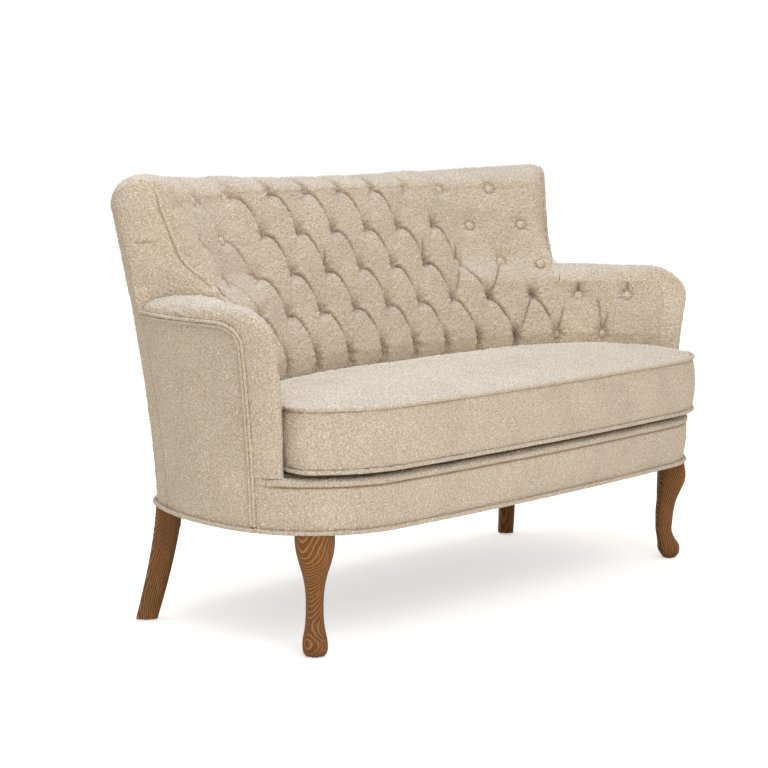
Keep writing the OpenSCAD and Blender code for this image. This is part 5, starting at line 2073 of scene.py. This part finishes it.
@dataclass
class Legs:
    """Carved legs: bowed cabriole ones in front, plain raked ones behind."""

    front_at: tuple = (572, -228)
    back_at: tuple = (541, 178)
    knee_w: float = 73
    knee_d: float = 59
    length: float = 223
    foot_z: float = 3
    back_w: float = 38
    back_d: tuple = (42, 52)
    rake: float = 46
    taper: float = 3.2
    squareness: float = 0.62
    rows: int = 90
    around: int = 40
    # height, width, depth and how far forward, as shares of the leg's length and of the knee
    front_shares: tuple = (
        (0, .47, .45, .20), (.006, .50, .49, .20), (.03, .59, .63, .21), (.08, .63, .78, .19),
        (.13, .61, .76, .17), (.19, .53, .64, .08), (.26, .47, .58, 0), (.37, .44, .62, 0),
        (.47, .45, .66, .02), (.57, .51, .71, .08), (.67, .63, .86, .16), (.77, .81, .99, .24),
        (.85, .93, 1.0, .25), (.92, .99, 1.01, .2), (1, 1, 1.05, .12))

    def section(self, width: float, depth: float, forward: float) -> np.ndarray:
        """One rounded section in a leg's own plane.

        Args:
            width: Width.
            depth: Depth along the way it faces.
            forward: How far its middle lies forward.

        Returns:
            Points with X and Y.
        """
        w = np.linspace(0, 2 * math.pi, self.around, endpoint=False)
        c, n = np.cos(w), np.sin(w)
        return np.column_stack([width / 2 * np.sign(c) * np.abs(c) ** self.squareness,
                                forward + depth / 2 * np.sign(n) * np.abs(n) ** self.squareness])

    def loft(self, name: str, rows: list, at: tuple, turn: float) -> Object:
        """A leg through its sections.

        Args:
            name: Name of the piece.
            rows: Height, width, depth and forward place of each section.
            at: X and Y of the leg.
            turn: Angle in degrees that its forward side is turned to.

        Returns:
            The finished object.
        """
        table = np.array(rows)
        z = np.linspace(0, 1, self.rows) ** 0.9 * table[-1, 0]
        smooth = [self.through(table[:, 0], table[:, k], z) for k in (1, 2, 3)]
        a = math.radians(turn)
        spin = np.array([[math.cos(a), -math.sin(a)], [math.sin(a), math.cos(a)]])
        rings = []
        for height, width, depth, forward in zip(z, *smooth):
            flat = self.section(width, depth, forward) @ spin.T + np.array(at)
            rings.append(np.column_stack([flat, np.full(len(flat), self.foot_z + height)]))
        return tube(name, np.stack(rings))

    @staticmethod
    def through(x: np.ndarray, y: np.ndarray, at: np.ndarray) -> np.ndarray:
        """Smooth curve through points.

        Args:
            x: Places, rising.
            y: Values.
            at: Places wanted.

        Returns:
            The values there.
        """
        slope = np.gradient(y, x)
        i = np.clip(np.searchsorted(x, at, side="right") - 1, 0, len(x) - 2)
        h = x[i + 1] - x[i]
        f = (at - x[i]) / h
        return ((1 + 2 * f) * (1 - f) ** 2 * y[i] + f * (1 - f) ** 2 * h * slope[i]
                + f * f * (3 - 2 * f) * y[i + 1] + f * f * (f - 1) * h * slope[i + 1])

    def build(self) -> list:
        """Builds the four legs.

        Returns:
            Front left, front right, back left and back right.
        """
        front = [(h * self.length, w * self.knee_w, d * self.knee_d, f * self.knee_d)
                 for h, w, d, f in self.front_shares]
        back = [(f * self.length, self.back_w - self.taper * (1 - f) ** 2, mix(*self.back_d, f),
                 self.rake * (1 - f) ** 1.4) for f in np.linspace(0, 1, 12)]
        (fx, fy), (bx, by) = self.front_at, self.back_at
        return [self.loft("cabriole_leg_left", front, (-fx, fy), 135),
                self.loft("cabriole_leg_right", front, (fx, fy), -135),
                self.loft("raked_leg_left", back, (-bx, by), 45),
                self.loft("raked_leg_right", back, (bx, by), -45)]


# Room and assembly
@dataclass
class Settee:
    """The dressed settee: every upholstered piece, the legs and the finishes of the inner frame."""

    frame: dict
    plan: SetteePlan = field(default_factory=SetteePlan)
    finishes: dict = field(init=False)
    napped: dict = field(default_factory=dict)
    nubs_per_m2: float = 6500.0
    nub_mm: float = 2.1

    def __post_init__(self) -> None:
        """Builds the finish of each material slot."""
        self.finishes = {
            Slot.BOUCLE: BoucleFinish().build(),
            Slot.WELT: BoucleFinish("boucle_cord", loop="ded2bf", ground="bcaa8d", relief_mm=1.6).build(),
            Slot.OAK: OakFinish().build(),
            Slot.BEECH: GrainFinish("planed_beech", "cda77a", "b98f60", (14.0, 90.0, 90.0)).build(),
            Slot.PLYWOOD: GrainFinish("birch_ply", "dcc39b", "b8956a", (12.0, 12.0, 700.0)).build(),
            Slot.STEEL: SteelFinish().build(),
            Slot.FELT: ClothFinish("wool_felt", "8b8278", "6d655c", 5.0, 0.4).build(),
            Slot.LINING: ClothFinish("black_non_woven", "26262a", "161618", 1.6, 0.2).build(),
            Slot.JUTE: ClothFinish("jute_webbing", "b29468", "8a6c43", 3.0, 0.5).build(),
            Slot.ZIP: ClothFinish("zip_tape_cloth", "d2c6b2", "b8aa93", 1.0, 0.15).build()}

    def put(self, obj: Object, slot: Slot, nodes: tuple, body: Body = Body.SETTEE,
            fill: float | None = None) -> None:
        """Dresses a piece with the finish of its slot.

        Args:
            obj: The piece.
            slot: Its slot.
            nodes: CAD nodes that it stands for.
            body: Body that it moves with.
            fill: Given for padded pieces; boucle ones are then roughened and strewn with nubs, whatever its
                value.
        """
        if slot is Slot.BOUCLE and fill is not None:
            nap(obj)
            self.napped.setdefault(body, []).append(obj)
        dress(obj, self.finishes[slot], body, nodes)

    def upholster(self) -> None:
        """Builds the fixed upholstery."""
        plan, boucle = self.plan, Slot.BOUCLE
        tufts = Tufting(plan)
        back = ButtonedBack(tufts)
        self.put(back.build(), boucle, ("inside_back",), fill=0.7)
        for side, word in SIDES.items():
            self.put(ButtonedArm(tufts, side).build(), boucle, (f"inside_arm_{word}",), fill=0.7)
            self.put(WingFace(back, side).build(), boucle, (f"wing_face_{word}",), fill=0.8)
            self.put(ArmBand(plan, side).build(), boucle, (f"arm_band_{word}",), fill=0.8)
        covers = OutsideCovers(plan).build()
        for obj, node in zip(covers, ("outside_back", "outside_arm_left", "outside_arm_right")):
            self.put(obj, boucle, (node,), fill=0.9)
        self.put(FrontBorder(plan).build(), boucle, ("front_border",), fill=0.9)
        buttons = Buttons(tufts, button_group(), self.finishes[boucle])
        self.put(buttons.build("covered_buttons_back", False), boucle, ("back_buttons",))
        self.put(buttons.build("covered_buttons_arms", True), boucle, ("arm_buttons",))

    def finish_cords(self) -> None:
        """Builds the cushion and every cord."""
        plan, welt = self.plan, Slot.WELT
        cushion = BenchCushion(plan)
        self.put(cushion.build(), Slot.BOUCLE, ("seat_cushion",), Body.CUSHION, fill=0.85)
        cords = Cords(plan, cord_group(), self.finishes[welt])
        for side, word in SIDES.items():
            self.put(cords.facing_pair(side), welt, (f"double_welt_{word}",))
        self.put(cords.base(), welt, ("base_welt",))
        for word, z in (("top", plan.cushion_top), ("bottom", plan.cushion_z)):
            self.put(cords.cushion(cushion, z, f"cushion_cord_{word}"), welt, (f"cushion_{word}_welt",),
                     Body.CUSHION)

    def scatter(self) -> None:
        """Scatters the yarn's loose nubs over the covers, one piece for each body."""
        tree = nub_group()
        finish = BoucleFinish(name="boucle_nub", loop="f3ebdb", ground="e0d3bb", relief_mm=0.8).build()
        for body, covers in self.napped.items():
            work = bmesh.new()
            for cover in covers:
                work.from_mesh(cover.data)
            mesh = bpy.data.meshes.new("nub_ground")
            work.to_mesh(mesh)
            work.free()
            nubs = grown(f"boucle_nubs_{body.value}", mesh, tree, {
                "Density": self.nubs_per_m2, "Radius": self.nub_mm * MM, "Seed": SEED, "Material": finish})
            dress(nubs, finish, body)

    def line(self) -> None:
        """Builds the linings."""
        lined = Linings(self.plan)
        self.put(lined.deck(), Slot.FELT, ("deck_pad",), fill=0.9)
        cover = lined.dust_cover()
        self.put(cover, Slot.LINING, ("dust_cover",))
        straps = lined.webbing()
        self.put(straps, Slot.JUTE, ("back_webbing",))
        tape = lined.zip_tape()
        self.put(tape, Slot.ZIP, ("zip_tape",), Body.CUSHION)

    def carve(self) -> None:
        """Builds the legs."""
        nodes = ("front_leg_left", "front_leg_right", "back_leg_left", "back_leg_right")
        for leg, node in zip(Legs().build(), nodes):
            self.put(leg, Slot.OAK, (node,))

    def finish_frame(self) -> None:
        """Gives every CAD node that stays the finish of its slot."""
        for part in self.frame["record"]["subparts"]:
            node = self.frame["nodes"][part["node"]]
            slot = Slot(part["material_slot"])
            node.data.materials.clear()
            node.data.materials.append(self.finishes[slot])

    def build(self) -> None:
        """Builds everything."""
        self.finish_frame()
        self.upholster()
        self.finish_cords()
        self.scatter()
        self.line()
        self.carve()


@dataclass
class Studio:
    """White room with soft light from the upper left, and the camera of the picture."""

    lens: float = 100.55
    place: tuple = (-3.374, -2.782, 0.962)
    tilt: float = 82.96
    turn: float = -49.54
    aim: tuple = (0, 0, 0.45)
    floor_half: float = 14
    floor_glow: float = 0.55
    sky: float = 0.58
    sky_colour: str = "fff8ee"
    # name, place in metres, side of the square in metres, power in watts and colour
    lamps: tuple = (("key", (-1.95, -2.8, 2.65), 2.2, 64, "faf8ff"),
                    ("top", (-0.5, 0.2, 3.4), 1.8, 46, "f2f6ff"))

    def camera(self) -> None:
        """Sets the camera."""
        data = bpy.data.cameras.new("camera")
        data.lens, data.sensor_width, data.clip_end = self.lens, 36, 100
        obj = linked("camera", data)
        obj.location = self.place
        obj.rotation_euler = (math.radians(self.tilt), 0, math.radians(self.turn))
        bpy.context.scene.camera = obj

    def floor(self) -> None:
        """Lays a pale floor that keeps the shadow and meets the white background."""
        mesh = bpy.data.meshes.new("floor")
        size = self.floor_half
        mesh.from_pydata([(-size, -size, 0), (size, -size, 0), (size, size, 0), (-size, size, 0)], [],
                         [(0, 1, 2, 3)])
        material, tree = new_material("studio_floor")
        white = linear("ffffff")
        shader = add(tree, "ShaderNodeBsdfDiffuse", {"Color": white})
        glow = add(tree, "ShaderNodeEmission", {"Color": white, "Strength": self.floor_glow})
        none = add(tree, "ShaderNodeEmission", {"Strength": 0.0})
        seen = add(tree, "ShaderNodeLightPath").outputs["Is Camera Ray"]
        shown = add(tree, "ShaderNodeMixShader", (seen, none, glow))
        both = add(tree, "ShaderNodeAddShader", (shader, shown))
        add(tree, "ShaderNodeOutputMaterial", (both,))
        mesh.materials.append(material)
        obj = linked("floor", mesh)

    def world(self) -> None:
        """Sets an even pale sky that looks white to the camera."""
        world = bpy.data.worlds.new("sky")
        bpy.context.scene.world = world
        world.use_nodes = True
        tree = world.node_tree
        tree.nodes.clear()
        rays = add(tree, "ShaderNodeLightPath").outputs
        soft = add(tree, "ShaderNodeBackground", {"Color": linear(self.sky_colour), "Strength": self.sky})
        white = add(tree, "ShaderNodeBackground", {"Color": linear("ffffff"), "Strength": 1.0})
        shown = rays["Is Camera Ray"]
        for ray in ("Is Glossy Ray", "Is Transmission Ray"):
            shown = add(tree, "ShaderNodeMath", (shown, rays[ray]), operation="MAXIMUM")
        mixed = add(tree, "ShaderNodeMixShader", (shown, soft, white))
        add(tree, "ShaderNodeOutputWorld", (mixed,))

    def lamp(self, name: str, place: tuple, size: float, power: float, colour: str) -> None:
        """Hangs a square lamp that looks at the seat.

        Args:
            name: Its name.
            place: Where it hangs, in metres.
            size: Side of the square.
            power: Power in watts.
            colour: Its colour.
        """
        data = bpy.data.lights.new(name, "AREA")
        data.size, data.energy, data.color = size, power, linear(colour)[:3]
        obj = linked(name, data)
        x, y, z = np.array(self.aim) - np.array(place)
        obj.location = place
        obj.rotation_euler = (math.atan2(math.hypot(x, y), -z), 0, math.atan2(y, x) - math.pi / 2)

    def build(self) -> None:
        """Builds the studio."""
        self.camera()
        self.floor()
        self.world()
        for lamp in self.lamps:
            self.lamp(*lamp)
        bpy.context.scene.view_settings.view_transform = "Standard"


def main() -> None:
    """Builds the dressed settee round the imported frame."""
    logging.basicConfig(level=logging.INFO, format="%(name)s: %(message)s")
    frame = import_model()
    Settee(frame).build()
    Studio().build()


if __name__ == "__main__":
    main()
